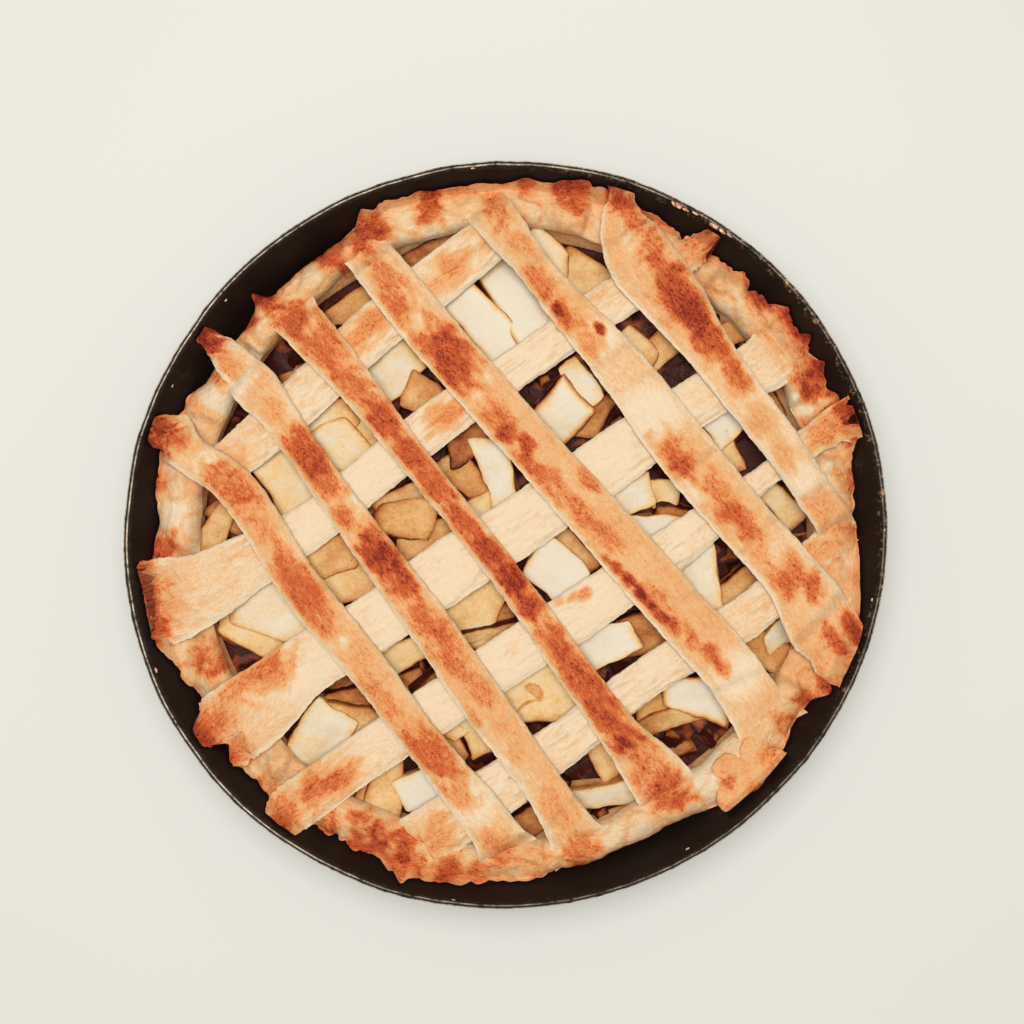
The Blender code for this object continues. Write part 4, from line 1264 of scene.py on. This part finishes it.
def add_floor(scene, look):
    """A plain floor just under the tin."""
    bm = bmesh.new()
    bmesh.ops.create_grid(bm, x_segments=1, y_segments=1, size=look.floor_size / 2)
    mesh = bpy.data.meshes.new("floor")
    bm.to_mesh(mesh)
    bm.free()
    material, _, shader = material_named("floor", 0.6)
    shader.inputs["Base Color"].default_value = (*look.floor, 1.0)
    mesh.materials.append(material)
    floor = bpy.data.objects.new("floor", mesh)
    floor.location.z = TIN_LOW.z - 0.2 * MM
    scene.collection.objects.link(floor)
    floor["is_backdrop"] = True


def add_light(scene, look):
    """Even light from all round and one large soft lamp."""
    world = bpy.data.worlds.new("studio")
    world.use_nodes = True
    background = world.node_tree.nodes["Background"]
    background.inputs["Color"].default_value = (1.0, 0.985, 0.96, 1.0)
    background.inputs["Strength"].default_value = look.sky
    scene.world = world
    lamp = bpy.data.lights.new("key", "AREA")
    lamp.shape, lamp.size, lamp.energy = "DISK", 0.8, look.key
    key = bpy.data.objects.new("key", lamp)
    key.location = (-0.04, 0.12, 1.3)
    key.rotation_euler = (-key.location).to_track_quat("-Z", "Y").to_euler()
    scene.collection.objects.link(key)


def add_camera(scene, look):
    """A camera that looks straight down on the tin."""
    lens = bpy.data.cameras.new("camera")
    lens.sensor_width = 36
    lens.lens = lens.sensor_width * look.camera_height / look.field
    camera = bpy.data.objects.new("camera", lens)
    camera.location = (look.camera_x, look.camera_y, TIN_HEIGHT + look.camera_height)
    scene.collection.objects.link(camera)
    scene.camera = camera
    scene.view_settings.view_transform = "Standard"


class LATTICEPIE_OT_tin(bpy.types.Operator):
    """Add the worn black tin"""

    bl_idname = "lattice_pie.add_tin"
    bl_label = "Add tin"

    def execute(self, context):
        bm, hems, rubs = make_tin_mesh(context.scene.lattice_pie_tin)
        tin = finished(bm, "tin_worn", black_tin(), [("hem", hems), ("rubbed", rubs)])
        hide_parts("tin")
        return {"FINISHED"}


class LATTICEPIE_OT_case(bpy.types.Operator):
    """Add the pastry case with its folded rim"""

    bl_idname = "lattice_pie.add_case"
    bl_label = "Add pastry case"

    def execute(self, context):
        bm, tones, weave = make_case_mesh(context.scene.lattice_pie_pastry)
        case = finished(bm, "case_baked", baked_pastry(), [("browned", tones)], weave)
        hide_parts("pastry_case")
        return {"FINISHED"}


class LATTICEPIE_OT_filling(bpy.types.Operator):
    """Add the apple slices and the syrup bed, darkened as painted shade, between them"""

    bl_idname = "lattice_pie.add_filling"
    bl_label = "Add apple filling"

    def execute(self, context):
        look = context.scene.lattice_pie_apple
        bed = finished(make_core_mesh(look), "syrup_and_shade_bed", syrup_and_shade_bed())
        flesh = cooked_apple()
        pieces = [bed]
        heaps = (("apple_slices", shown_rows(look.swell), look.cuts, 0),
                 ("sunken_slices", sunken_rows(look.sunken), look.cuts // 2, 200),
                 ("apple_bits", bit_rows(look.bits), 2, 500))
        for name, rows, cuts, first in heaps:
            heap, tones, edges = heap_of(rows, cuts, first, look)
            pieces.append(finished(heap, name, flesh, [("tone", tones), ("edge", edges)], angle=38))
        for piece in pieces:
            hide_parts("apple_filling")
        return {"FINISHED"}


class LATTICEPIE_OT_under_strips(bpy.types.Operator):
    """Add the paler strips that lie on the apple"""

    bl_idname = "lattice_pie.add_under_strips"
    bl_label = "Add under strips"

    def execute(self, context):
        for name, stations in UNDER_STRIPS.items():
            make_strip(name, stations, under_rest, 0.04)
        return {"FINISHED"}


class LATTICEPIE_OT_over_strips(bpy.types.Operator):
    """Add the browner strips that cross over them"""

    bl_idname = "lattice_pie.add_over_strips"
    bl_label = "Add over strips"

    def execute(self, context):
        over_rest = over_rest_on([Route(stations) for stations in UNDER_STRIPS.values()])
        for name, stations in OVER_STRIPS.items():
            make_strip(name, stations, over_rest, 0.26)
        return {"FINISHED"}


class LATTICEPIE_OT_patch(bpy.types.Operator):
    """Add the lobed patch of pastry on the rim"""

    bl_idname = "lattice_pie.add_patch"
    bl_label = "Add patch"

    def execute(self, context):
        bm, tones, weave = make_patch_mesh()
        patch = finished(bm, "patch_baked", baked_pastry(), [("browned", tones)], weave)
        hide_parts("pastry_patch")
        return {"FINISHED"}


class LATTICEPIE_OT_crumbs(bpy.types.Operator):
    """Add the crumbs stuck to the tin"""

    bl_idname = "lattice_pie.add_crumbs"
    bl_label = "Add crumbs"

    def execute(self, context):
        crumbs = finished(make_crumb_mesh(), "burnt_crumbs", burnt_crumb())
        return {"FINISHED"}


class LATTICEPIE_OT_stage(bpy.types.Operator):
    """Add the floor, the soft light and the camera"""

    bl_idname = "lattice_pie.add_stage"
    bl_label = "Add stage"

    def execute(self, context):
        scene, look = context.scene, context.scene.lattice_pie_stage
        add_floor(scene, look)
        add_light(scene, look)
        add_camera(scene, look)
        return {"FINISHED"}


OPERATORS = (
    LATTICEPIE_OT_tin, LATTICEPIE_OT_case, LATTICEPIE_OT_filling, LATTICEPIE_OT_under_strips,
    LATTICEPIE_OT_over_strips, LATTICEPIE_OT_patch, LATTICEPIE_OT_crumbs, LATTICEPIE_OT_stage,
)
SETTINGS = {
    "lattice_pie_tin": LatticePieTin,
    "lattice_pie_pastry": LatticePiePastry,
    "lattice_pie_apple": LatticePieApple,
    "lattice_pie_stage": LatticePieStage,
}


class LATTICEPIE_PT_panel(bpy.types.Panel):
    """Lists the pie's sizes, colours and pieces"""

    bl_label = "Lattice apple pie"
    bl_idname = "LATTICEPIE_PT_panel"
    bl_space_type = "VIEW_3D"
    bl_region_type = "UI"
    bl_category = "Apple pie"

    def draw(self, context):
        layout = self.layout
        for name, group in SETTINGS.items():
            box = layout.box()
            settings = getattr(context.scene, name)
            for field in group.__annotations__:
                box.prop(settings, field)
        for operator in OPERATORS:
            layout.operator(operator.bl_idname)


CLASSES = (*SETTINGS.values(), *OPERATORS, LATTICEPIE_PT_panel)


def register():
    """Registers the classes and the scene's settings."""
    for cls in CLASSES:
        bpy.utils.register_class(cls)
    for name, group in SETTINGS.items():
        setattr(bpy.types.Scene, name, PointerProperty(type=group))


def unregister():
    """Takes the settings and the classes away again."""
    for name in SETTINGS:
        delattr(bpy.types.Scene, name)
    for cls in reversed(CLASSES):
        bpy.utils.unregister_class(cls)


def main():
    """Adds all pieces and the stage."""
    register()
    for operator in OPERATORS:
        family, verb = operator.bl_idname.split(".")
        getattr(getattr(bpy.ops, family), verb)()
    sizes = {"loaded": LOADED_BOUNDS, "dressed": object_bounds()}
    {name: [list(corner) for corner in bounds] for name, bounds in sizes.items()}


if __name__ == "__main__":
    main()
